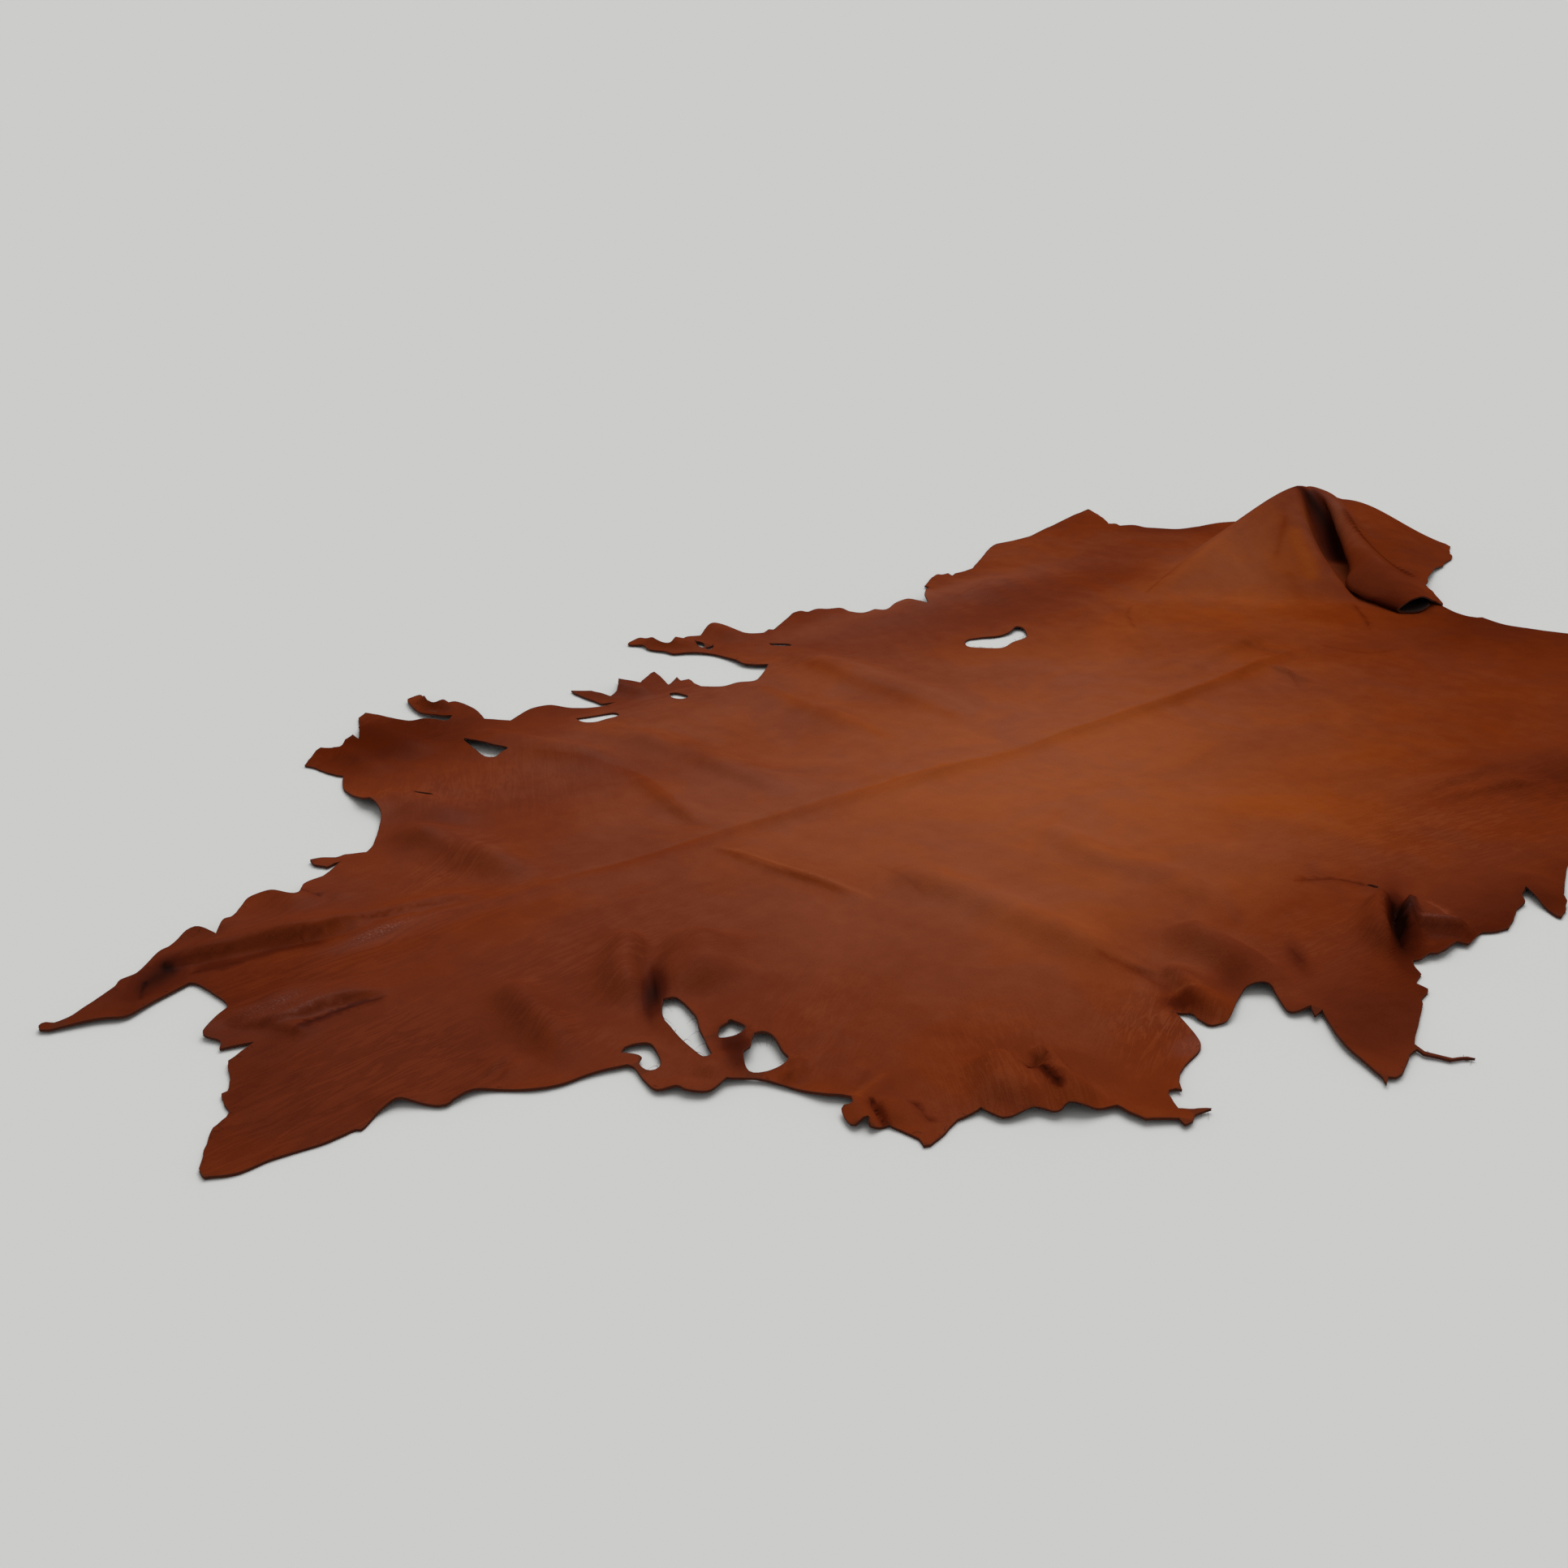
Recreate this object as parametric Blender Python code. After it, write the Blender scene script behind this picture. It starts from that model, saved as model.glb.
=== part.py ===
"""A whole tanned hide lying grain side up on a floor, as one closed sheet of leather.

Axes: X runs from the neck to the rump along the backbone, Y points to the far flank, Z is up.
The sheet is described on its lying plan, in millimetres from the middle of the backbone. One
hind leg is pleated: past the pleat's crease, the leather is laid out along the fold frame.
"""

import bpy
import numpy as np
from mathutils import kdtree
from mathutils.geometry import delaunay_2d_cdt

MM = 0.001

# Sheet
THICKNESS = 2.5  # of the leather
INNER_SPACING = 60.0  # between points inside the sheet
RIDGE_STEP = 42.0  # between points along a soft ridge
EDGE_SPACING = 21.0  # between points along a cut or torn edge
EDGE_CLEARANCE = 15.0  # between the edge and the nearest inner point
STRAIGHT_STEP = 1.6  # how much further apart the points of a straight stretch may lie
CURVE_SAMPLES = 12  # positions worked out on each stretch of a curved run
ROUNDED_END = 0.3  # share of a ridge's length over which each of its ends fades out

# The pleat in the far hind leg: its frame is turned this far from X, and its crease is rounded
FOLD_TURN = 50.0
CREASE_RADIUS = 5.0
FOLD_ALONG = (600.0, 1180.0)  # where the pleat's own finer points start and stop
FOLD_STEP_ALONG = 27.0
FOLD_STEP_ACROSS = 12.5
FOLD_BEFORE = (-90, -66, -44, -24, -10, 0, 4, 8, 12)  # rows before and in the crease
FOLD_PAST = 262.0  # how far past the crease the rows go on
FOLD_STATIONS = 60  # sections worked out along the pleat
SECTION_SAMPLES = 16  # positions on each stretch of a section
CREASE_LEAN = 20.0  # overhang at which the crease turns right round
FOOT_LEAD = (60.0, -14.0)  # where a section would go on after its foot: across and up
FOOT_RUN = (60.0, 2.05)  # how far the leather takes to come down: a length, and per height

# The tent beside the pleat: a broad face that rises to the leg end
TENT_RISE = 0.435  # slope of the face
TENT_TOP = 130.0  # height at the leg end
TENT_FOOT = (728.0, 319.5, -0.124)  # foot line: along, across, and its slope
TENT_CREST = (316.5, 1.105)  # crest line: across at the foot, and its slope
TENT_BACK = 1.1  # how steeply the hidden side falls
TENT_FOOT_SOFT = 5.0  # how softly the face leaves the floor
TENT_TOP_SOFT = 6.0
TENT_CREST_SOFT = 3.5
TENT_ROWS = (-122, -96, -68, -42, -18, 0, 20, 46)  # rows of points beside the crest
TENT_STEP = 30.0  # between points of a row

# One row for each section of the pleat, at a distance along it. The crease, the overhanging
# left side, the crest and the foot each have a place across the pleat and a height.
PLEAT_COLUMNS = ("along", "crease", "crease_z", "left", "left_z", "crest", "crest_z", "foot",
    "foot_z")
PLEAT = (
    (600, 845, 0, 726, 5, 762, 24, 806, 3),
    (625, 835, 0, 714, 5, 758, 25, 806, 3),
    (660, 820, 0, 697, 6, 748, 29, 805, 4),
    (700, 810, 0, 676, 8, 738, 36, 799, 13),
    (740, 800, 0, 667, 15, 728, 42, 793, 14),
    (775, 790, 1, 684, 24, 722, 49, 787, 17),
    (850, 770, 5, 694, 44, 720, 64, 778, 28),
    (920, 735, 20, 698, 66, 720, 82, 771, 44),
    (980, 704, 78, 697, 96, 721, 100, 769, 58),
    (1044, 676, 116, 690, 117, 720, 106, 769, 69),
    (1110, 672, 86, 690, 93, 722, 95, 771, 76),
    (1180, 672, 46, 690, 58, 724, 78, 773, 72),
)

# The rib and the open valley between the tent and the pleat, with the same "along"
VALLEY_COLUMNS = ("along", "rib", "valley", "valley_z")
VALLEY = (
    (660, 668, 690, 0),
    (700, 662, 682, 0),
    (775, 640, 684, 1),
    (850, 629, 680, 7),
    (920, 627, 674, 26),
    (980, 632, 669, 78),
    (1044, 648, 671, 116),
    (1110, 655, 672, 86),
    (1180, 655, 672, 46),
)

# Soft ridges of the lying sheet. Each runs from a start to an end and has a height, and a
# width to its left and to its right when looking from the start to the end.
RIDGE_COLUMNS = ("x0", "y0", "x1", "y1", "height", "left", "right")
RIDGES = {
    "backbone, neck": (-960, 36, -560, 8, 7, 34, 30),
    "backbone, middle": (-640, 10, 40, -8, 7, 42, 42),
    "backbone, rump": (-40, -10, 700, 0, 8, 48, 52),
    "neck roll": (-1075, 100, -840, 62, 15, 34, 26),
    "neck roll, end": (-900, 70, -735, 24, 9, 34, 26),
    "neck lap": (-1060, -50, -915, -78, 10, 44, 15),
    "near neck wave": (-830, -130, -826, -295, 9, 26, 30),
    "near dimple": (-655, -150, -705, -262, 15, 46, 24),
    "far neck wave": (-770, 250, -690, 40, 10, 30, 38),
    "far shoulder wave": (-742, 372, -664, 200, 8, 34, 34),
    "far leg wave": (-560, 470, -440, 250, 11, 30, 42),
    "far crease": (-445, 290, -460, 0, 8, 26, 36),
    "far rib": (-400, 400, -315, 10, 6, 44, 36),
    "near crease": (-492, 0, -424, -230, 5, 22, 18),
    "near rib": (-372, -180, -322, -535, 9, 38, 44),
    "near middle rib": (-152, -200, -150, -520, 7, 32, 36),
    "far belly wave": (-22, 500, 2, 90, 13, 38, 42),
    "far belly wave, second": (40, 470, 72, 90, 11, 28, 40),
    "far flank": (120, 520, 700, 545, 12, 90, 95),
    "rump wave": (330, 40, 700, 110, 8, 60, 42),
    "near flank": (330, -400, 620, -520, 8, 60, 50),
    "near belly arch": (-232, -470, -246, -600, 22, 34, 34),
    "near belly curl": (-300, -520, -336, -610, 13, 38, 22),
    "near leg pleat": (-600, -575, -545, -520, 16, 30, 34),
    "near leg lip": (-518, -545, -556, -620, 18, 14, 40),
    "near pocket lip": (8, -566, -82, -662, 22, 46, 12),
    "near edge crumple": (-25, -640, 60, -690, 10, 24, 26),
    "near strip": (170, -640, 108, -700, 10, 26, 20),
    "far lobe": (-1012, 190, -990, 90, 8, 26, 26),
    "far neck lobe": (-930, 215, -905, 110, 9, 34, 34),
    "far foreleg": (-668, 600, -620, 430, 13, 36, 46),
    "far shred fold": (-300, 515, -268, 440, 10, 24, 30),
    "far strip": (-130, 690, -60, 560, 10, 30, 30),
    "far ear": (-8, 700, -12, 560, 9, 34, 30),
    "far hind waist": (372, 590, 420, 480, 12, 40, 50),
}

# The outline, clockwise from the far cheek. A run is "curved" or "torn", that is, straight
# from point to point, and it starts where the last one ended.
OUTLINE = (
    ("far cheek tip", "curved", ((-1192, 42), (-1193, 52), (-1189, 57), (-1184, 56), (-1179, 50),
        (-1162, 53), (-1117, 82), (-1109, 92), (-1092, 97), (-1061, 127), (-1050, 131))),
    ("far neck lobe", "curved", ((-1028, 148), (-1018, 146), (-1011, 136), (-1006, 119))),
    ("far neck", "curved", ((-956, 178), (-946, 183), (-928, 175), (-910, 148), (-889, 178),
        (-866, 185))),
    ("neck strip", "torn", ((-835, 208), (-843, 209), (-853, 205), (-861, 219), (-861, 232),
        (-850, 229), (-836, 221), (-825, 221), (-803, 213))),
    ("far armpit", "curved", ((-788, 227), (-750, 290), (-745, 314), (-745, 329))),
    ("far bulge", "curved", ((-751, 340), (-751, 392), (-746, 411), (-732, 440))),
    ("far foreleg front", "torn", ((-737, 447), (-752, 495), (-757, 503), (-726, 542),
        (-716, 548), (-707, 536), (-698, 530))),
    ("far foreleg peak", "torn", ((-682, 549), (-669, 551), (-669, 534), (-638, 602),
        (-632, 621), (-615, 635), (-604, 616), (-595, 592))),
    ("far foreleg pocket", "curved", ((-583, 566), (-565, 557), (-543, 532), (-529, 541))),
    ("far looped strip", "curved", ((-542, 545), (-554, 565), (-557, 597), (-548, 642),
        (-537, 649), (-523, 650), (-536, 606), (-533, 588), (-522, 584), (-497, 596),
        (-488, 558), (-496, 510))),
    ("far notch", "torn", ((-472, 481),)),
    ("far belly lobe", "curved", ((-430, 503), (-413, 506), (-396, 501), (-381, 476),
        (-360, 460), (-338, 452), (-321, 455))),
    ("far shreds", "torn", ((-338, 461), (-345, 521), (-343, 535), (-321, 514), (-312, 478),
        (-298, 482), (-290, 490), (-266, 530), (-250, 495), (-230, 512), (-203, 529),
        (-218, 469), (-190, 488), (-194, 471), (-182, 469), (-186, 448), (-185, 433))),
    ("far bay", "curved", ((-158, 415), (-131, 414), (-110, 404), (-89, 416), (-53, 444))),
    ("far strip", "curved", ((-69, 456), (-79, 473), (-77, 498), (-82, 534), (-90, 552),
        (-110, 572), (-131, 582), (-136, 599), (-149, 623), (-147, 646), (-161, 665),
        (-145, 676), (-126, 679), (-128, 631), (-116, 608), (-69, 638), (-46, 630))),
    ("far ear", "curved", ((-27, 643), (-7, 650), (10, 650), (11, 594))),
    ("far flank dip", "torn", ((44, 581), (61, 590), (66, 584))),
    ("far flank hump", "curved", ((142, 631), (157, 628), (164, 613), (227, 614), (225, 578),
        (231, 550), (258, 554))),
    ("far flank step", "curved", ((263, 533), (307, 556), (330, 554), (328, 526), (332, 504))),
    ("far hind waist", "torn", ((365, 546), (432, 609), (430, 618), (479, 652), (505, 663),
        (510, 656), (525, 656), (518, 638), (533, 646), (548, 645), (584, 652))),
    ("far thigh", "curved", ((712, 736), (742, 751), (763, 753), (805, 750), (854, 758),
        (1025, 815), (1115, 842))),
    ("far thigh, step", "torn", ((1074, 760), (1050, 730), (1060, 718), (1053, 702))),
    ("far leg end, front", "curved", ((1080, 688), (1084, 656), (1118, 612), (1174, 598),
        (1240, 590), (1292, 556), (1308, 500))),
)

# The same outline past the crease of the pleat, as along and across in the fold frame
PLEATED_EDGE = (
    ("far leg end, rear", "curved", ((1165, 722), (1148, 750), (1140, 779), (1136, 816),
        (1136, 851), (1121, 903), (1103, 944), (1084, 972))),
    ("far leg end, corner", "torn", ((1066, 979), (1010, 965), (956, 994), (920, 1018),
        (885, 1026))),
    ("far leg rear", "curved", ((842, 1042), (800, 1047), (775, 1061), (738, 1096),
        (710, 1096), (682, 1085))),
    ("pleat mouth", "curved", ((657, 1072), (664, 1064), (652, 1045), (640, 1028), (630, 1011),
        (624, 993), (616, 972), (613, 940), (629, 905), (650, 872), (700, 826), (752, 803))),
    ("pleat root", "torn", ((700, 802), (657, 806))),
)

# The rump and the near flank. The near hind leg is the plain, unpleated twin of the far one.
NEAR_OUTLINE = (
    ("rump", "curved", ((1023, -48), (1019, -71), (1025, -86))),
    ("tail", "torn", ((1033, -91), (1030, -98))),
    ("rump, near half", "curved", ((1025, -138), (1059, -222))),
    ("near leg rear", "curved", ((1112, -266), (1200, -308), (1310, -350), (1372, -380))),
    ("near leg end", "torn", ((1392, -412), (1335, -590), (1205, -765), (1166, -815), (1160, -925))),
    ("near thigh", "curved", ((1060, -905), (930, -868), (840, -848), (770, -845), (690, -808),
        (590, -742), (520, -716), (440, -682))),
    ("near belly", "curved", ((385, -652), (330, -640), (280, -634))),
    ("near hind front", "curved", ((233, -639), (144, -677))),
    ("near hind shreds", "torn", ((138, -684), (128, -687), (120, -692), (103, -696))),
    ("near thigh tip", "curved", ((102, -693), (113, -669), (129, -644))),
    ("near belly front", "torn", ((116, -648), (105, -657), (84, -660), (37, -674))),
    ("near belly edge", "curved", ((23, -671), (8, -663))),
    ("near belly corner", "torn", ((-30, -670), (-36, -661), (-62, -663))),
    ("near crumple", "torn", ((-74, -662), (-80, -657), (-94, -656), (-100, -652))),
    ("near shank rear", "torn", ((-107, -658), (-117, -671), (-137, -677), (-138, -689),
        (-143, -692), (-160, -696), (-167, -702))),
    ("near shank", "curved", ((-225, -729),)),
    ("near string", "torn", ((-237, -737), (-240, -748), (-230, -768), (-217, -775),
        (-214, -781), (-222, -774), (-234, -769), (-246, -750), (-244, -743), (-258, -745))),
    ("near shank end", "curved", ((-287, -755), (-297, -755))),
    ("near shank fringe", "torn", ((-302, -750), (-313, -756), (-307, -749), (-303, -738))),
    ("near shank front", "curved", ((-287, -696), (-255, -653))),
    ("near shank notch", "torn", ((-268, -655), (-259, -644))),
    ("near arch", "curved", ((-274, -640), (-279, -633), (-259, -601), (-262, -594),
        (-281, -586), (-332, -607), (-347, -605), (-353, -601), (-353, -588))),
    ("near curl", "curved", ((-351, -580), (-360, -569))),
    ("near foreleg rear", "curved", ((-385, -617), (-418, -629))),
    ("near foreleg tip", "torn", ((-435, -635), (-449, -643), (-457, -654), (-460, -649),
        (-466, -647), (-472, -651), (-483, -669), (-472, -678), (-459, -685), (-477, -682),
        (-486, -686), (-494, -686), (-492, -678))),
    ("near foreleg end", "torn", ((-510, -665), (-516, -663), (-519, -648), (-520, -636))),
    ("near foreleg front", "curved", ((-540, -627), (-555, -612), (-561, -613), (-568, -610),
        (-573, -599), (-578, -595), (-598, -591), (-606, -586), (-610, -567))),
    ("near foreleg corner", "torn", ((-634, -565), (-662, -574), (-675, -576), (-681, -573),
        (-677, -563), (-683, -539))),
    ("near chest flap", "curved", ((-683, -536), (-700, -530), (-694, -521), (-708, -520),
        (-708, -510), (-704, -500), (-699, -495), (-693, -500), (-688, -492))),
    ("near chest", "curved", ((-690, -484), (-701, -472), (-728, -421), (-752, -403))),
    ("near throat", "curved", ((-775, -408), (-789, -396), (-792, -386), (-808, -376),
        (-803, -337), (-806, -330))),
    ("near cheek", "curved", ((-836, -321), (-865, -319), (-886, -312), (-924, -284),
        (-950, -284), (-955, -286), (-964, -281), (-982, -261), (-989, -257), (-1006, -260),
        (-1026, -272), (-1031, -269), (-1058, -271), (-1100, -265), (-1126, -266), (-1149, -256))),
    ("near cheek end", "torn", ((-1149, -243), (-1139, -225), (-1120, -196), (-1107, -188),
        (-1102, -182), (-1100, -157), (-1098, -152), (-1093, -151), (-1085, -135), (-1082, -119),
        (-1077, -107))),
    ("neck notch", "torn", ((-1048, -93), (-1076, -84))),
    ("neck", "curved", ((-1071, -75), (-1071, -70), (-1079, -51), (-1046, -22), (-1043, -9))),
    ("neck, upper", "curved", ((-1048, 21), (-1054, 43), (-1058, 47))),
    ("far cheek", "curved", ((-1095, 34), (-1120, 22), (-1128, 22), (-1148, 32), (-1186, 41))),
)

# Natural holes and tears, each as its rim
HOLES = {
    "near long tear": ((-722, -262), (-711, -267), (-711, -280), (-716, -305), (-726, -325),
        (-736, -351), (-745, -371), (-749, -367), (-747, -328), (-742, -295), (-734, -278)),
    "near throat hole": ((-801, -312), (-792, -307), (-773, -316), (-779, -341), (-788, -352),
        (-797, -348), (-797, -335), (-790, -329), (-792, -322)),
    "near chest hole": ((-699, -333), (-694, -329), (-691, -349), (-707, -357), (-720, -350),
        (-718, -344), (-709, -335)),
    "near chest tear": ((-693, -365), (-684, -368), (-683, -381), (-690, -400), (-693, -414),
        (-717, -416), (-730, -406), (-720, -385), (-710, -382), (-704, -375)),
    "far foreleg tear": ((-563, 433), (-561, 444), (-554, 420), (-544, 397), (-532, 377),
        (-544, 375), (-555, 372), (-564, 383), (-565, 402)),
    "far belly tear": ((-396, 435), (-374, 429), (-343, 421), (-343, 409), (-362, 408),
        (-382, 407), (-395, 418)),
    "far belly hole": ((-239, 437), (-230, 434), (-224, 420), (-223, 411), (-235, 408),
        (-245, 420)),
    "flank hole": ((262, 345), (279, 353), (300, 347), (328, 335), (356, 335), (379, 344),
        (384, 335), (373, 316), (356, 302), (322, 297), (287, 288), (262, 308), (252, 326)),
    "far shoulder hole": ((-694, 321), (-688, 323), (-673, 311), (-682, 306), (-693, 312)),
    "far strip hole": ((-84, 597), (-71, 602), (-69, 591), (-82, 569), (-89, 575)),
    "far strip slit": ((-81, 569), (-64, 576), (-54, 584), (-67, 568), (-79, 562)),
    "far ear slit": ((17, 533), (39, 511), (34, 499), (14, 520)),
    "near belly hole": ((8, -531), (14, -530), (16, -540), (11, -541)),
}
HOLE_SPACING = 14.0  # between points on a hole's rim
LEAST_SIDES = 6  # of a small hole

LEATHER_COLOUR = (0.140, 0.036, 0.014, 1.0)
LEATHER_ROUGHNESS = 0.55


def smooth(t):
    """0 to 1 with level ends."""
    t = np.clip(t, 0.0, 1.0)
    return t * t * (3.0 - 2.0 * t)


def hermite(t, start, pull_start, end, pull_end):
    """A place on the cubic curve from start to end that leaves and arrives along the pulls."""
    return (
        (2 * t**3 - 3 * t**2 + 1) * start + (t**3 - 2 * t**2 + t) * pull_start
        + (3 * t**2 - 2 * t**3) * end + (t**3 - t**2) * pull_end
    )


def no_longer(pull, reach):
    """The pull, cut down to the reach where it is longer, so that a curve doesn't loop."""
    size = np.linalg.norm(pull, axis=-1, keepdims=True) + 1e-9
    return pull * np.minimum(1.0, reach / size)


def fold_axes():
    """The fold frame's own axes, seen on the plan: along the fold and across it."""
    turn = np.radians(FOLD_TURN)
    return np.array([np.cos(turn), np.sin(turn)]), np.array([np.sin(turn), -np.cos(turn)])


def to_fold(points):
    """Along and across in the fold frame."""
    along, across = fold_axes()
    return np.stack([points @ along, points @ across], -1)


def from_fold(points):
    """The plan's X and Y of points that are given along and across."""
    along, across = fold_axes()
    return points[:, :1] * along + points[:, 1:] * across


def curve_through(points, spacing, curved):
    """A run of points at about even spacing, on a rounded path if it is curved."""
    points = np.asarray(points, float)
    if curved and len(points) > 2:
        before = np.vstack([2 * points[0] - points[1], points[:-1]])
        after = np.vstack([points[1:], 2 * points[-1] - points[-2]])
        pull = (after - before) / 2
        t = np.linspace(0, 1, CURVE_SAMPLES, endpoint=False)[:, None]
        pieces = []
        for i, (a, b) in enumerate(zip(points[:-1], points[1:])):
            reach = np.linalg.norm(b - a)
            pulls = no_longer(pull[i], reach), no_longer(pull[i + 1], reach)
            pieces.append(hermite(t, a, pulls[0], b, pulls[1]))
        points = np.vstack([*pieces, points[-1:]])
        steps = np.linalg.norm(np.diff(points, axis=0), axis=1)
        length = np.concatenate([[0], np.cumsum(steps)])
        count = max(2, int(round(length[-1] / spacing)) + 1)
        at = np.linspace(0, length[-1], count)
        return np.stack([np.interp(at, length, points[:, k]) for k in (0, 1)], -1)
    pieces = []
    for a, b in zip(points[:-1], points[1:]):
        count = max(1, int(np.linalg.norm(b - a) / (STRAIGHT_STEP * spacing)))
        pieces.append(a + (b - a) * np.linspace(0, 1, count, endpoint=False)[:, None])
    return np.vstack([*pieces, points[-1:]])


def outline():
    """The closed outline of the sheet, laid out on its plan."""
    rows = [("plan", *row) for row in OUTLINE]
    rows += [("fold", *row) for row in PLEATED_EDGE]
    rows += [("plan", *row) for row in NEAR_OUTLINE]
    start = np.array([rows[0][3][0]], float)
    found = [start]
    for frame, _, kind, points in rows:
        points = np.array(points, float)
        if frame == "fold":
            points = from_fold(points)
        run = curve_through(np.vstack([found[-1][-1:], points]), EDGE_SPACING, kind == "curved")
        found.append(run[1:])
    ring = np.vstack(found)
    apart = np.linalg.norm(ring - np.roll(ring, 1, axis=0), axis=1) > 1.0
    return ring[apart]


def hole_rims():
    """Each hole as a closed ring of points, of which even a small one has a few."""
    rims = []
    for rim in HOLES.values():
        loop = np.array([*rim, rim[0]], float)
        around = np.linalg.norm(np.diff(loop, axis=0), axis=1).sum()
        ring = curve_through(loop, min(HOLE_SPACING, around / LEAST_SIDES), True)
        rims.append(ring[:-1])
    return rims


def inside(points, ring):
    """Whether each point lies in the ring, by counting the ring's sides to its right."""
    x, y = points[:, None, 0], points[:, None, 1]
    a, b = ring[None], np.roll(ring, -1, axis=0)[None]
    crosses = (a[..., 1] > y) != (b[..., 1] > y)
    rise = np.where(crosses, b[..., 1] - a[..., 1], 1.0)
    at = a[..., 0] + (y - a[..., 1]) * (b[..., 0] - a[..., 0]) / rise
    return (crosses & (x < at)).sum(1) % 2 == 1


def edge_distance(points, rings):
    """How far each point lies from the nearest side of any ring."""
    nearest = np.full(len(points), np.inf)
    for ring in rings:
        a, b = ring[None], np.roll(ring, -1, axis=0)[None]
        side = b - a
        t = ((points[:, None] - a) * side).sum(-1) / (side**2).sum(-1)
        foot = a + np.clip(t, 0, 1)[..., None] * side
        nearest = np.minimum(nearest, np.linalg.norm(points[:, None] - foot, axis=-1).min(1))
    return nearest


def column(table, columns, name, along):
    """A column of a table, followed smoothly along the fold."""
    rows = np.array(table, float)
    x, y = rows[:, 0], rows[:, columns.index(name)]
    slope = np.gradient(y, x)
    i = np.clip(np.searchsorted(x, along) - 1, 0, len(x) - 2)
    step = x[i + 1] - x[i]
    t = np.clip((along - x[i]) / step, 0, 1)
    return hermite(t, y[i], step * slope[i], y[i + 1], step * slope[i + 1])


def section_curves(along):
    """The pleat's section at each place along it, as evenly spaced points and its length."""
    get = {name: column(PLEAT, PLEAT_COLUMNS, name, along) for name in PLEAT_COLUMNS[1:]}
    radius = CREASE_RADIUS
    lean = np.tanh((get["crease"] - get["left"]) / CREASE_LEAN)
    rise = radius * (1 + lean)
    keys = np.stack(
        [
            np.stack([get["crease"] - radius, get["crease_z"]], -1),
            np.stack([get["crease"], get["crease_z"] + rise / 2], -1),
            np.stack([get["crease"] - radius * lean, get["crease_z"] + rise], -1),
            np.stack([get["left"], get["left_z"]], -1),
            np.stack([get["crest"], get["crest_z"]], -1),
            np.stack([get["foot"], get["foot_z"]], -1),
        ],
        1,
    )
    first = keys[:, :1] + np.array([-2 * radius, 0.0])
    last = keys[:, -1:] + np.array(FOOT_LEAD)
    keys = np.concatenate([first, keys, last], 1)
    t = np.linspace(0, 1, SECTION_SAMPLES, endpoint=False)[None, :, None]
    pieces = []
    for i in range(1, keys.shape[1] - 2):
        a, b, c, d = (keys[:, k : k + 1] for k in range(i - 1, i + 3))
        gap = np.linalg.norm(c - b, axis=-1, keepdims=True)
        pulls = no_longer((c - a) / 2, gap), no_longer((d - b) / 2, gap)
        pieces.append(hermite(t, b, pulls[0], c, pulls[1]))
    path = np.concatenate([*pieces, keys[:, -2:-1]], 1)
    steps = np.linalg.norm(np.diff(path, axis=1), axis=-1)
    length = np.concatenate([np.zeros((len(along), 1)), np.cumsum(steps, 1)], 1)
    return path, length


def laid_pleat(along, past):
    """Across and height of points that lie this far past the start of the crease."""
    stations = np.linspace(PLEAT[0][0], PLEAT[-1][0], FOLD_STATIONS)
    path, length = section_curves(stations)
    place = np.clip((along - stations[0]) / (stations[1] - stations[0]), 0, len(stations) - 1.001)
    low = place.astype(int)
    share = place - low
    total = length[low, -1] * (1 - share) + length[low + 1, -1] * share
    part = np.clip(past / total, 0, 1)
    across, height = np.zeros_like(along), np.zeros_like(along)
    for station in range(len(stations)):
        for side, weight in ((0, 1 - share), (1, share)):
            mine = low + side == station
            at = part[mine] * length[station, -1]
            across[mine] += weight[mine] * np.interp(at, length[station], path[station, :, 0])
            height[mine] += weight[mine] * np.interp(at, length[station], path[station, :, 1])
    beyond = np.maximum(past - total, 0)
    foot_z = column(PLEAT, PLEAT_COLUMNS, "foot_z", along)
    across = across + beyond
    reach = FOOT_RUN[0] + FOOT_RUN[1] * foot_z
    height = np.where(beyond > 0, foot_z * (1 - smooth(beyond / reach)), height)
    return across, height


def tent_height(fold):
    """Height of the broad face, the hidden back and the valley before the crease."""
    along, across = fold[:, 0], fold[:, 1]
    foot = TENT_FOOT[0] + TENT_FOOT[2] * (across - TENT_FOOT[1])
    face = TENT_RISE * (along - foot)
    face = TENT_FOOT_SOFT * (np.logaddexp(0.0, face / TENT_FOOT_SOFT) - np.log(2.0))
    face = TENT_TOP - TENT_TOP_SOFT * np.logaddexp(0.0, (TENT_TOP - face) / TENT_TOP_SOFT)
    face = np.maximum(face, 0.0)
    crest = TENT_CREST[0] + TENT_CREST[1] * (along - TENT_FOOT[0])
    behind = (crest - across) / np.hypot(1.0, TENT_CREST[1])
    fall = TENT_BACK * TENT_CREST_SOFT * np.logaddexp(0.0, behind / TENT_CREST_SOFT)
    height = np.maximum(face - fall, 0)
    rib = column(VALLEY, VALLEY_COLUMNS, "rib", along)
    valley = column(VALLEY, VALLEY_COLUMNS, "valley", along)
    floor = column(VALLEY, VALLEY_COLUMNS, "valley_z", along)
    crease = column(PLEAT, PLEAT_COLUMNS, "crease", along) - CREASE_RADIUS
    crease_z = column(PLEAT, PLEAT_COLUMNS, "crease_z", along)
    drop = smooth((across - rib) / (valley - rib))
    height = height * (1 - drop) + np.minimum(height, floor) * drop
    run = smooth((across - valley) / np.maximum(crease - valley, 1.0))
    return np.where(across > valley, height * (1 - run) + crease_z * run, height)


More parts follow.
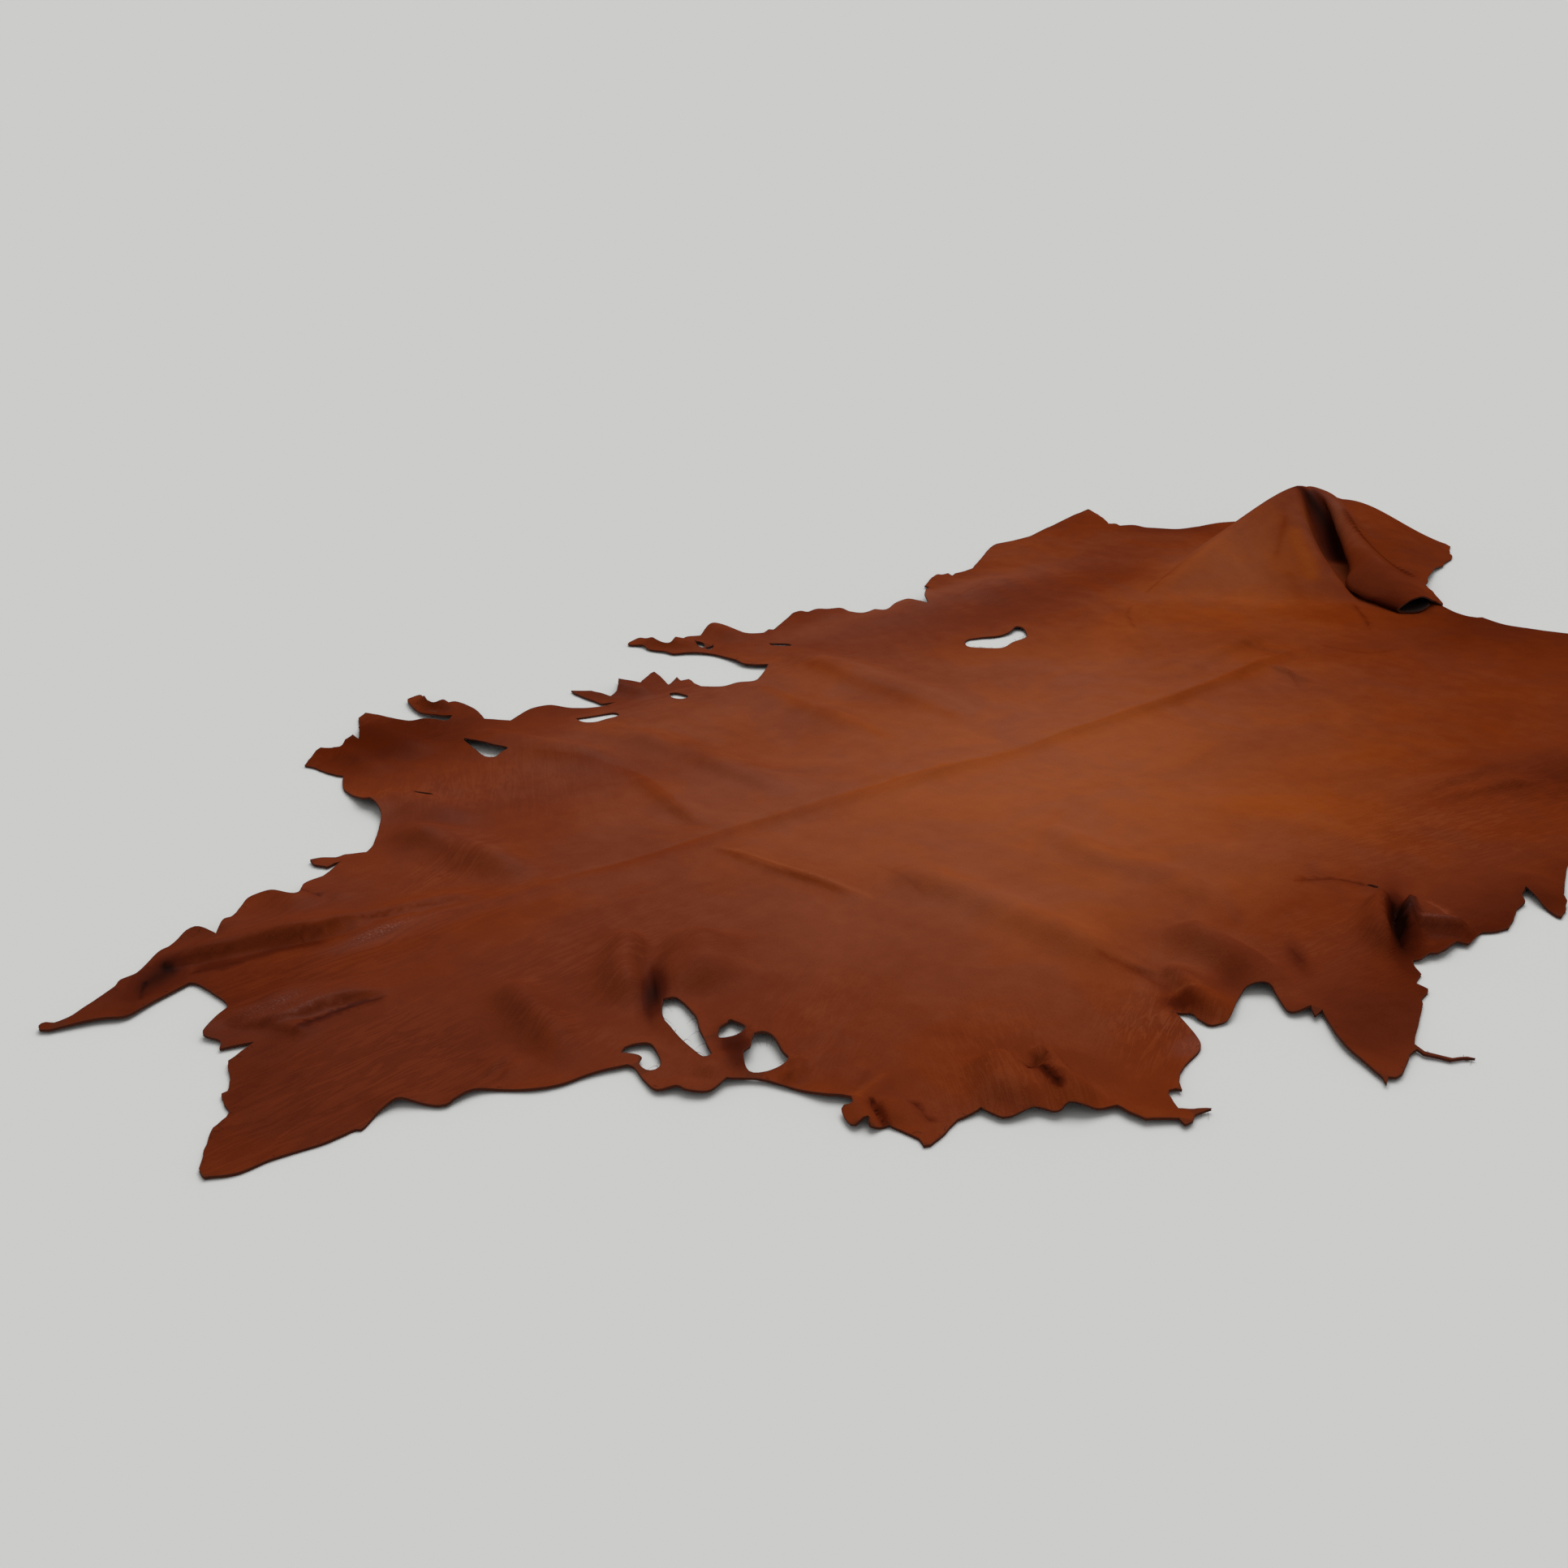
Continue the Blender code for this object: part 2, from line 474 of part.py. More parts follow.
def ridge_axes(ridge):
    """A ridge's start, its length, its direction and the direction to its left."""
    start = np.array([ridge["x0"], ridge["y0"]], float)
    run = np.array([ridge["x1"], ridge["y1"]], float) - start
    length = np.linalg.norm(run)
    forward = run / length
    return start, length, forward, np.array([-forward[1], forward[0]])


def ridge_height(points):
    """The highest of the soft ridges at each point. The sheet lies level between them."""
    total = np.zeros(len(points))
    for row in RIDGES.values():
        ridge = dict(zip(RIDGE_COLUMNS, row))
        start, length, forward, leftward = ridge_axes(ridge)
        along = (points - start) @ forward / length
        off = (points - start) @ leftward
        profile = 1 - smooth(np.where(off > 0, off / ridge["left"], -off / ridge["right"]))
        ends = smooth(np.minimum(along, 1 - along) / ROUNDED_END)
        total = np.maximum(total, ridge["height"] * profile * ends)
    return total


def drape(points):
    """Where each point of the laid-out sheet ends up: the middle of the leather, in mm."""
    fold = to_fold(points)
    along, across = fold[:, 0], fold[:, 1]
    crease = column(PLEAT, PLEAT_COLUMNS, "crease", along) - CREASE_RADIUS
    height = np.maximum(tent_height(fold), ridge_height(points))
    past = across - crease
    folded = (past > 0) & (along > PLEAT[0][0])
    laid = fold.copy()
    if folded.any():
        laid[folded, 1], height[folded] = laid_pleat(along[folded], past[folded])
    plan = from_fold(laid)
    return np.column_stack([plan, height + THICKNESS / 2])


def lattice(low, high):
    """An even lattice over the whole plan."""
    found = []
    for i, y in enumerate(np.arange(low[1], high[1], INNER_SPACING * 0.866)):
        x = np.arange(low[0] + INNER_SPACING / 2 * (i % 2), high[0], INNER_SPACING)
        found.append(np.column_stack([x, np.full(len(x), y)]))
    return np.vstack(found)


def ridge_points():
    """Points on the crest, the sides and the feet of each soft ridge."""
    found = []
    for row in RIDGES.values():
        ridge = dict(zip(RIDGE_COLUMNS, row))
        start, length, forward, leftward = ridge_axes(ridge)
        left, right = ridge["left"], ridge["right"]
        steps = np.linspace(0, length, max(4, int(length / RIDGE_STEP)) + 1)
        for offset in (-right, -0.5 * right, 0.0, 0.5 * left, left):
            found.append(start + steps[:, None] * forward + offset * leftward)
    return np.vstack(found)


def tent_points():
    """Rows of points along the tent's crest, in the fold frame."""
    along = np.arange(TENT_FOOT[0], 1180, TENT_STEP)
    crest = TENT_CREST[0] + TENT_CREST[1] * (along - TENT_FOOT[0])
    slope = np.hypot(1.0, TENT_CREST[1])
    found = []
    for offset in TENT_ROWS:
        beside = (along - offset * TENT_CREST[1] / slope, crest + offset / slope)
        found.append(np.column_stack(beside))
    return from_fold(np.vstack(found))


def pleat_points():
    """Rows of points along the pleat, close together where its crease bends."""
    along = np.arange(FOLD_ALONG[0], FOLD_ALONG[1], FOLD_STEP_ALONG)
    crease = column(PLEAT, PLEAT_COLUMNS, "crease", along) - CREASE_RADIUS
    offsets = [*FOLD_BEFORE, *np.arange(16, FOLD_PAST, FOLD_STEP_ACROSS)]
    rows = [np.column_stack([along, crease + offset]) for offset in offsets]
    return from_fold(np.vstack(rows))


def away_from(points, others, least):
    """The points that lie at least this far from all of the others."""
    tree = kdtree.KDTree(len(others))
    for i, (x, y) in enumerate(others):
        tree.insert((x, y, 0.0), i)
    tree.balance()
    gaps = np.array([tree.find((x, y, 0.0))[2] for x, y in points])
    return points[gaps >= least]


def sheet_points(rings):
    """Points inside the sheet: an even lattice, with rows of its own along each fold."""
    ring = rings[0]
    points = pleat_points()
    for more, least in (
        (tent_points(), 0.6 * TENT_STEP),
        (ridge_points(), 0.4 * RIDGE_STEP),
        (lattice(ring.min(0), ring.max(0)), 0.7 * INNER_SPACING),
    ):
        points = np.vstack([points, away_from(more, points, least)])
    points = points[inside(points, ring)]
    for rim in rings[1:]:
        points = points[~inside(points, rim)]
    return points[edge_distance(points, rings) > EDGE_CLEARANCE]


def triangulate(rings, inner):
    """Points and triangles of the flat sheet."""
    points = np.vstack([*rings, inner])
    sides, first = [], 0
    for ring in rings:
        n = len(ring)
        sides += [(first + i, first + (i + 1) % n) for i in range(n)]
        first += n
    found, _, faces, _, _, _ = delaunay_2d_cdt(
        [tuple(p) for p in points.tolist()], sides, [], 0, 1e-4
    )
    flat = np.array([tuple(p) for p in found], float)
    triangles = np.array(faces, int)
    middle = flat[triangles].mean(1)
    keep = inside(middle, rings[0])
    for rim in rings[1:]:
        keep &= ~inside(middle, rim)
    triangles = triangles[keep]
    used = np.unique(triangles)
    number = np.full(len(flat), -1)
    number[used] = np.arange(len(used))
    return flat[used], number[triangles]


def vertex_normals(points, triangles):
    """The mean direction of the triangles round each point, by their areas."""
    a, b, c = (points[triangles[:, k]] for k in range(3))
    face = np.cross(b - a, c - a)
    total = np.zeros_like(points)
    for k in range(3):
        np.add.at(total, triangles[:, k], face)
    return total / np.linalg.norm(total, axis=1, keepdims=True)


def close_sheet(points, triangles):
    """The sheet with its thickness: an upper face, a lower face and the cut edge between."""
    normals = vertex_normals(points, triangles)
    upper = points + normals * THICKNESS / 2
    lower = points - normals * THICKNESS / 2
    lower[:, 2] = np.maximum(lower[:, 2], 0.0)
    level = points[:, 2] < THICKNESS / 2 + 0.02
    lower[level, 2] = 0.0
    upper[level, 2] = THICKNESS
    n = len(points)
    sides = np.concatenate([triangles[:, [0, 1]], triangles[:, [1, 2]], triangles[:, [2, 0]]])
    key = np.sort(sides, axis=1)
    _, index, count = np.unique(key, axis=0, return_inverse=True, return_counts=True)
    rim = sides[count[index.reshape(-1)] == 1]
    faces = np.vstack(
        [
            triangles,
            triangles[:, ::-1] + n,
            np.column_stack([rim[:, 0], rim[:, 0] + n, rim[:, 1] + n]),
            np.column_stack([rim[:, 0], rim[:, 1] + n, rim[:, 1]]),
        ]
    )
    return np.vstack([upper, lower]), faces


def leather():
    """Dyed red-brown leather with a soft sheen."""
    material = bpy.data.materials.new("leather")
    material.use_nodes = True
    shader = material.node_tree.nodes["Principled BSDF"]
    shader.inputs["Base Color"].default_value = LEATHER_COLOUR
    shader.inputs["Roughness"].default_value = LEATHER_ROUGHNESS
    return material


def build_hide():
    """The hide as one object, with its origin on the floor under the middle of its box."""
    rings = [outline(), *hole_rims()]
    flat, triangles = triangulate(rings, sheet_points(rings))
    corners = flat[triangles]
    first, second = corners[:, 1] - corners[:, 0], corners[:, 2] - corners[:, 0]
    turned = first[:, 0] * second[:, 1] - first[:, 1] * second[:, 0] < 0
    triangles[turned] = triangles[turned][:, ::-1]
    points, faces = close_sheet(drape(flat), triangles)
    low, high = points.min(0), points.max(0)
    points[:, :2] -= (low[:2] + high[:2]) / 2
    mesh = bpy.data.meshes.new("hide")
    mesh.from_pydata((points * MM).tolist(), [], faces.tolist())
    mesh.materials.append(leather())
    hide = bpy.data.objects.new("hide", mesh)
    bpy.context.scene.collection.objects.link(hide)
    return hide


def main():
    """Clears the scene and builds the hide."""
    for existing in list(bpy.data.objects):
        bpy.data.objects.remove(existing, do_unlink=True)
    build_hide()


main()
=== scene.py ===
"""The looks of a whole tanned hide that lies grain side up on a floor.

The leather is one closed sheet with a fine upper face, a lower face and a raw cut edge. Its
flat plan has an outline, holes and tears, and a draping function lifts each point of the plan:
soft folds, waves, a tent with a pleat in one hind leg, and edges that curl off the floor.

Places on the plan are in millimetres from the middle of the backbone: X to the rump, Y to the
far flank. The outline, the holes and the pleat are those of the frame's own solid. The tent's
foot and crest are a little softer, and there are more of the soft folds.
"""

import math

import bpy
import numpy as np
from mathutils.geometry import delaunay_2d_cdt
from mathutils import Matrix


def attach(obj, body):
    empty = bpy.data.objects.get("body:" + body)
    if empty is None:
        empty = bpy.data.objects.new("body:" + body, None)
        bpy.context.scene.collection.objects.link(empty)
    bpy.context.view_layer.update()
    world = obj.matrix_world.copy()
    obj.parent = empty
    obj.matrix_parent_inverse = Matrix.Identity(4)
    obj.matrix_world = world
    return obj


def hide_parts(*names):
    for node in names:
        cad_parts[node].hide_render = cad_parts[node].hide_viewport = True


bl_info = {
    "name": "Tanned hide",
    "version": (1, 0, 0),
    "blender": (4, 5, 0),
    "location": "3D View > Sidebar > Hide",
    "description": "Builds the leather, its torn fibres and a plain studio",
    "category": "Object",
}

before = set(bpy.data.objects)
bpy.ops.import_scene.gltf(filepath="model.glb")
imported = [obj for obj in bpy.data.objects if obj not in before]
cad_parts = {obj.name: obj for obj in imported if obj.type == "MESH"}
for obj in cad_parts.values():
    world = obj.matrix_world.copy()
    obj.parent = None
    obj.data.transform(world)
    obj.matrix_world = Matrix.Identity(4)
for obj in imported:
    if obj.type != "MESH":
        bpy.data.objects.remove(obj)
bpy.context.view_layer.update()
MM = 0.001
TINY = 1e-9  # keeps a division away from nought

# The pleat in the far hind leg: its frame is turned this far from X, and its crease is rounded
FOLD_TURN = 50.0
CREASE_RADIUS = 5.0
FOLD_ALONG = (596.0, 1182.0)  # where the pleat's own finer points start and stop
FOLD_STEP = 8.0  # between those points
FOLD_BAND = (-36.0, 285.0)  # how far before and past the crease they go
BEND_WIDTH = 20.0  # the first stretch past the crease, where the points lie closest
BEND_STEP = 2.5
ROWS_BEFORE = 7  # rows of points before the crease, the closer to it the denser
FIRST_BEFORE = 3.0  # how far before it the nearest of them lies
FOLD_STATIONS = 80  # sections worked out along the pleat
SECTION_MARGIN = 0.001  # keeps a place between two sections
SECTION_SAMPLES = 16  # positions on each stretch of a section
CREASE_LEAN = 20.0  # overhang at which the crease turns right round
FOOT_LEAD = (60.0, -14.0)  # where a section would go on after its foot: across and up
FOOT_RUN = (60.0, 2.05)  # how far the leather takes to come down: a length, and per height

# The tent beside the pleat: a broad face that rises to the leg end
TENT_RISE = 0.435  # slope of the face
TENT_TOP = 131.5  # height at the leg end
TENT_FOOT = (722.0, 319.5, -0.124)  # foot line: along, across, and its slope
TENT_CREST = (308.0, 1.105)  # crest line: across at the foot, and its slope
TENT_BACK = 1.1  # how steeply the hidden side falls
TENT_FOOT_SOFT = 9.0  # how softly the face leaves the floor
TENT_TOP_SOFT = 8.0
TENT_CREST_SOFT = 6.0
TENT_TAUT = 12.0  # height of the tent over which the undulation dies out

# One row for each section of the pleat, at a distance along it. The crease, the overhanging
# left side, the crest and the foot each have a place across the pleat and a height.
PLEAT_COLUMNS = ("along", "crease", "crease_z", "left", "left_z", "crest", "crest_z", "foot",
    "foot_z")
PLEAT = (
    (600, 845, 0, 726, 5, 762, 24, 806, 3),
    (625, 835, 0, 714, 5, 758, 25, 806, 3),
    (660, 820, 0, 697, 6, 748, 29, 805, 4),
    (700, 810, 0, 676, 8, 738, 36, 799, 13),
    (740, 800, 0, 667, 15, 728, 42, 793, 14),
    (775, 790, 1, 684, 24, 722, 49, 787, 17),
    (850, 770, 5, 694, 44, 720, 64, 778, 28),
    (920, 735, 20, 698, 66, 720, 82, 771, 44),
    (980, 704, 78, 697, 96, 721, 100, 769, 58),
    (1044, 676, 118, 690, 118, 720, 106, 769, 69),
    (1110, 672, 86, 690, 93, 722, 95, 771, 76),
    (1180, 672, 46, 690, 58, 724, 78, 773, 72),
)

# The rib and the open valley between the tent and the pleat, with the same "along"
VALLEY_COLUMNS = ("along", "rib", "valley", "valley_z")
VALLEY = (
    (660, 668, 690, 0),
    (700, 662, 682, 0),
    (775, 640, 684, 1),
    (850, 629, 680, 7),
    (920, 627, 674, 26),
    (980, 632, 669, 78),
    (1044, 648, 671, 119),
    (1110, 655, 672, 86),
    (1180, 655, 672, 46),
)

# Folds of the lying sheet. A ridge is a soft wave. A gully is a groove between two shoulders.
# Each has a height, a width to its left and to its right, and a line through its points.
FOLD_COLUMNS = ("kind", "height", "left", "right", "points")
FOLDS = {
    "backbone, neck": ("ridge", 5, 46, 18,
        ((-990, 44), (-900, 33), (-800, 24), (-700, 15), (-560, 6))),
    "backbone, middle": ("ridge", 7, 60, 20,
        ((-640, 12), (-500, 4), (-330, -4), (-200, -9), (-60, -20), (60, -24))),
    "backbone, rump": ("ridge", 7, 60, 20,
        ((-120, -16), (0, -22), (200, -26), (320, -28), (430, -20), (560, -3), (700, 0))),
    "neck roll": ("ridge", 18, 44, 11,
        ((-1080, 102), (-1040, 90), (-980, 76), (-900, 66), (-830, 60))),
    "neck roll, end": ("ridge", 9, 40, 12, ((-900, 70), (-820, 50), (-735, 24))),
    "neck lap": ("ridge", 10, 40, 8, ((-1060, -52), (-1010, -80), (-970, -74), (-905, -80))),
    "neck lap, end": ("ridge", 6, 26, 9, ((-1034, -68), (-1014, -90), (-1002, -122))),
    "neck tongue": ("ridge", 8, 22, 20, ((-1062, -46), (-1022, -50), (-985, -38), (-975, -60))),
    "near neck wave": ("ridge", 14, 34, 28,
        ((-824, -120), (-832, -180), (-836, -240), (-838, -305))),
    "near dimple": ("gully", 22, 46, 28, ((-650, -140), (-674, -172), (-700, -210), (-730, -268))),
    "near dimple, crest": ("ridge", 13, 44, 30,
        ((-640, -190), (-664, -210), (-690, -246), (-702, -282))),
    "near cheek crease": ("gully", 5, 10, 8, ((-912, -276), (-896, -268), (-874, -256))),
    "far neck wave": ("ridge", 18, 44, 34,
        ((-772, 262), (-738, 200), (-712, 130), (-702, 70), (-700, 20))),
    "far neck crease": ("ridge", 7, 20, 26, ((-905, 176), (-890, 158), (-872, 140), (-850, 122))),
    "far shoulder wave": ("ridge", 10, 40, 50, ((-742, 372), (-706, 300), (-664, 200))),
    "far leg wave": ("ridge", 14, 40, 60,
        ((-560, 500), (-520, 410), (-470, 320), (-432, 232))),
    "far crease": ("ridge", 7, 34, 16, ((-440, 228), (-446, 158), (-462, 78), (-464, 5))),
    "far rib": ("ridge", 10, 50, 26, ((-400, 400), (-352, 210), (-330, 90), (-310, 10))),
    "near crease": ("ridge", 5, 30, 9,
        ((-494, 2), (-480, -47), (-468, -95), (-449, -163), (-433, -230))),
    "near rib": ("ridge", 15, 50, 40, ((-364, -140), (-352, -260), (-346, -380), (-326, -520))),
    "near rib, line": ("ridge", 5, 14, 8, ((-330, -440), (-326, -490), (-313, -530))),
    "near middle rib": ("ridge", 12, 40, 34, ((-148, -170), (-160, -300), (-152, -400), (-146, -520))),
    "near shallow wave": ("ridge", 7, 60, 50, ((-90, -320), (-40, -420), (-10, -500))),
    "far belly wave": ("ridge", 15, 62, 56,
        ((-3, 520), (11, 400), (22, 240), (34, 80))),
    "far belly wave, second": ("ridge", 8, 50, 40, ((56, 480), (48, 380), (52, 240), (70, 90))),
    "far belly wave, third": ("ridge", 9, 50, 44, ((-120, 420), (-128, 320), (-120, 200), (-108, 90))),
    "far flank": ("ridge", 14, 90, 80, ((60, 508), (250, 505), (450, 520), (700, 545))),
    "rump wave": ("ridge", 13, 60, 30, ((330, 20), (450, 40), (560, 62), (700, 100))),
    "tent base crease": ("gully", 3, 20, 9, ((590, 60), (596, 20), (606, -20))),
    "rump crease": ("ridge", 5, 16, 10, ((545, -10), (538, -60), (528, -104))),
    "near flank": ("ridge", 8, 60, 50, ((330, -400), (460, -450), (620, -520))),
    "near flank, line": ("ridge", 8, 34, 16, ((240, -420), (330, -432), (430, -452), (520, -490))),
    "near flank, second line": ("ridge", 8, 34, 14, ((270, -452), (350, -474), (450, -500))),
    "near belly arch": ("ridge", 22, 34, 34, ((-226, -450), (-240, -530), (-250, -610))),
    "near belly curl": ("ridge", 16, 40, 16, ((-292, -500), (-318, -556), (-340, -615))),
    "near leg pleat": ("ridge", 22, 28, 26, ((-604, -585), (-575, -552), (-540, -516))),
    "near leg gully": ("gully", 19, 26, 14, ((-552, -612), (-545, -585), (-532, -555), (-520, -520))),
    "near leg lip": ("ridge", 16, 12, 40, ((-524, -555), (-536, -590), (-520, -625))),
    "near pocket": ("gully", 26, 13, 17,
        ((14, -562), (-20, -584), (-60, -608), (-104, -650))),
    "near edge crumple": ("ridge", 20, 13, 17, ((-48, -604), (-24, -628), (-8, -648), (6, -668))),
    "near strip": ("ridge", 10, 26, 20, ((185, -618), (150, -640), (112, -688))),
    "chest crease": ("gully", 7, 16, 14, ((-668, -494), (-682, -512), (-690, -540))),
    "chest crease, second": ("gully", 4, 12, 10, ((-630, -470), (-660, -480), (-690, -486))),
    "throat crumple": ("ridge", 6, 12, 12, ((-758, -380), (-737, -376), (-714, -368), (-694, -361))),
    "throat crumple, second": ("ridge", 7, 14, 16, ((-770, -392), (-740, -384), (-715, -372))),
    "throat ring": ("ridge", 8, 10, 10, ((-716, -420), (-704, -428), (-690, -420), (-682, -408))),
    "far lobe": ("ridge", 9, 26, 24, ((-1012, 190), (-1002, 140), (-984, 90))),
    "far neck lobe": ("ridge", 9, 34, 34, ((-930, 215), (-918, 160), (-900, 110))),
    "far foreleg": ("ridge", 11, 40, 50, ((-640, 600), (-636, 540), (-620, 430))),
    "far foreleg, inner": ("ridge", 6, 26, 34, ((-700, 545), (-690, 480), (-680, 400))),
    "far shred fold": ("ridge", 12, 24, 24, ((-304, 520), (-286, 488), (-262, 440))),
    "far strip": ("ridge", 11, 26, 26, ((-134, 680), (-110, 620), (-62, 560))),
    "far looped strip": ("ridge", 10, 16, 16, ((-532, 640), (-530, 600), (-508, 570))),
    "far ear": ("ridge", 10, 34, 30, ((-8, 700), (-8, 630), (-12, 560))),
    "far hind waist": ("ridge", 15, 40, 50, ((372, 600), (392, 540), (420, 480))),
    "far hump": ("ridge", 9, 40, 40, ((168, 660), (172, 600), (180, 540))),
}
LINE_REACH = 2.6  # how many widths from its line a fold or a line of painted light and shade still counts
LINE_FALL = 2.2  # how steeply it fades with the squared distance over its width
GULLY_CUT = 2.5  # the same for what a gully cuts away
ROUNDED_END = 0.3  # share of a fold's length over which each of its ends fades out
LINE_END = 0.14  # the same for a line of painted light and shade
FOLD_WANDER = 7.0  # how far noise bends the folds' lines
WANDER_WIDTH = 70.0  # the width of that noise
WANDER_SEEDS = (6, 7)
SWELL = (0.35, 64.0, 8)  # how much ridges swell and sink, the width of that noise and its seed

# How the lying leather undulates: a height, the width of its noise and its seed
UNDULATION = {"broad": (1.4, 170.0, 1), "middle": (0.8, 74.0, 2), "fine": (0.30, 30.0, 3),
    "rim": (0.7, 34.0, 4)}
MEAN_RISE = 0.9  # what the broad and middle waves swing about
SLACK = (0.35, 0.30, 90.0)  # share everywhere, more at the edge, and how far in that reaches
RIM_REACH = 18.0  # how far from the edge the rim's own waves reach
RIM_MEAN = 0.28

# Stretches of edge that curl off the floor: a centre, a radius along the edge, how far in the
# curl reaches, and its height
LIFT_COLUMNS = ("x", "y", "radius", "reach", "height")
LIFTS = {
    "near cheek arch": (-985, -252, 20, 26, 6),
    "near cheek dip": (-936, -276, 20, 16, 4),
    "neck end": (-1070, -40, 26, 22, 4),
    "far cheek": (-1130, 50, 40, 16, 3),
    "throat lobe": (-775, -385, 30, 26, 5),
    "chest notch": (-690, -475, 22, 22, 5),
    "foreleg bump": (-585, -570, 30, 26, 5),
    "foreleg front": (-515, -640, 50, 22, 4),
    "belly arch": (-255, -590, 30, 30, 5),
    "belly notch": (-255, -635, 18, 18, 6),
    "shank front": (-285, -700, 60, 18, 4),
    "near crumple": (-60, -655, 30, 22, 6),
    "near slit": (140, -650, 30, 20, 5),
    "armpit": (-745, 330, 50, 20, 5),
    "foreleg pocket": (-540, 555, 24, 20, 6),
    "looped strip": (-535, 610, 40, 16, 5),
    "far bay": (-45, 475, 36, 30, 6),
    "far strip": (-115, 610, 40, 16, 2),
    "far shreds": (-270, 510, 50, 20, 5),
    "waist": (355, 575, 34, 26, 5),
    "long tear": (-738, -300, 60, 14, 4),
    "chest hole": (-700, -380, 40, 14, 6),
    "far tear": (-530, 430, 40, 16, 3),
    "flank hole": (375, 355, 30, 20, 4),
}

# The outline, clockwise from the far cheek. A run is "curved" or "torn", that is, straight
# from point to point, and it starts where the last one ended.
OUTLINE = (
    ("far cheek tip", "curved", ((-1192, 42), (-1193, 52), (-1189, 57), (-1184, 56), (-1179, 50),
        (-1162, 53), (-1117, 82), (-1109, 92), (-1092, 97), (-1061, 127), (-1050, 131))),
    ("far neck lobe", "curved", ((-1028, 148), (-1018, 146), (-1011, 136), (-1006, 119))),
    ("far neck", "curved", ((-956, 178), (-946, 183), (-928, 175), (-910, 148), (-889, 178),
        (-866, 185))),
    ("neck strip", "torn", ((-835, 208), (-843, 209), (-853, 205), (-861, 219), (-861, 232),
        (-850, 229), (-836, 221), (-825, 221), (-803, 213))),
    ("far armpit", "curved", ((-788, 227), (-750, 290), (-745, 314), (-745, 329))),
    ("far bulge", "curved", ((-751, 340), (-751, 392), (-746, 411), (-732, 440))),
    ("far foreleg front", "torn", ((-737, 447), (-752, 495), (-757, 503), (-726, 542),
        (-716, 548), (-707, 536), (-698, 530))),
    ("far foreleg peak", "torn", ((-682, 549), (-669, 551), (-669, 534), (-638, 602),
        (-632, 621), (-615, 635), (-604, 616), (-595, 592))),
    ("far foreleg pocket", "curved", ((-583, 566), (-565, 557), (-543, 532), (-529, 541))),
    ("far looped strip", "curved", ((-542, 545), (-554, 565), (-557, 597), (-548, 642),
        (-537, 649), (-523, 650), (-536, 606), (-533, 588), (-522, 584), (-497, 596),
        (-488, 558), (-496, 510))),
    ("far notch", "torn", ((-472, 481),)),
    ("far belly lobe", "curved", ((-430, 503), (-413, 506), (-396, 501), (-381, 476),
        (-360, 460), (-338, 452), (-321, 455))),
    ("far shreds", "torn", ((-338, 461), (-345, 521), (-343, 535), (-321, 514), (-312, 478),
        (-298, 482), (-290, 490), (-266, 530), (-250, 495), (-230, 512), (-203, 529),
        (-218, 469), (-190, 488), (-194, 471), (-182, 469), (-186, 448), (-185, 433))),
    ("far bay", "curved", ((-158, 415), (-131, 414), (-110, 404), (-89, 416), (-53, 444))),
    ("far strip", "curved", ((-69, 456), (-79, 473), (-77, 498), (-82, 534), (-90, 552),
        (-110, 572), (-131, 582), (-136, 599), (-149, 623), (-147, 646), (-161, 665),
        (-145, 676), (-126, 679), (-128, 631), (-116, 608), (-69, 638), (-46, 630))),
    ("far ear", "curved", ((-27, 643), (-7, 650), (10, 650), (11, 594))),
    ("far flank dip", "torn", ((44, 581), (61, 590), (66, 584))),
    ("far flank hump", "curved", ((142, 631), (157, 628), (164, 613), (227, 614), (225, 578),
        (231, 550), (258, 554))),
    ("far flank step", "curved", ((263, 533), (307, 556), (330, 554), (328, 526), (332, 504))),
    ("far hind waist", "torn", ((365, 546), (432, 609), (430, 618), (479, 652), (505, 663),
        (510, 656), (525, 656), (518, 638), (533, 646), (548, 645), (584, 652))),
    ("far thigh", "curved", ((712, 736), (742, 751), (763, 753), (805, 750), (854, 758),
        (1025, 815), (1115, 842))),
    ("far thigh, step", "torn", ((1074, 760), (1050, 730), (1060, 718), (1053, 702))),
    ("far leg end, front", "curved", ((1080, 688), (1084, 656), (1118, 612), (1174, 598),
        (1240, 590), (1292, 556), (1308, 500))),
)

# The same outline past the crease of the pleat, as along and across in the fold frame
PLEATED_EDGE = (
    ("far leg end, rear", "curved", ((1165, 722), (1148, 750), (1140, 779), (1136, 816),
        (1136, 851), (1121, 903), (1103, 944), (1084, 972))),
    ("far leg end, corner", "torn", ((1066, 979), (1010, 965), (956, 994), (920, 1018),
        (885, 1026))),
    ("far leg rear", "curved", ((842, 1042), (800, 1047), (775, 1061), (738, 1096),
        (710, 1096), (682, 1085))),
    ("pleat mouth", "curved", ((657, 1072), (664, 1064), (652, 1045), (640, 1028), (630, 1011),
        (624, 993), (616, 972), (613, 940), (629, 905), (650, 872), (700, 826), (752, 803))),
    ("pleat root", "torn", ((700, 802), (657, 806))),
)

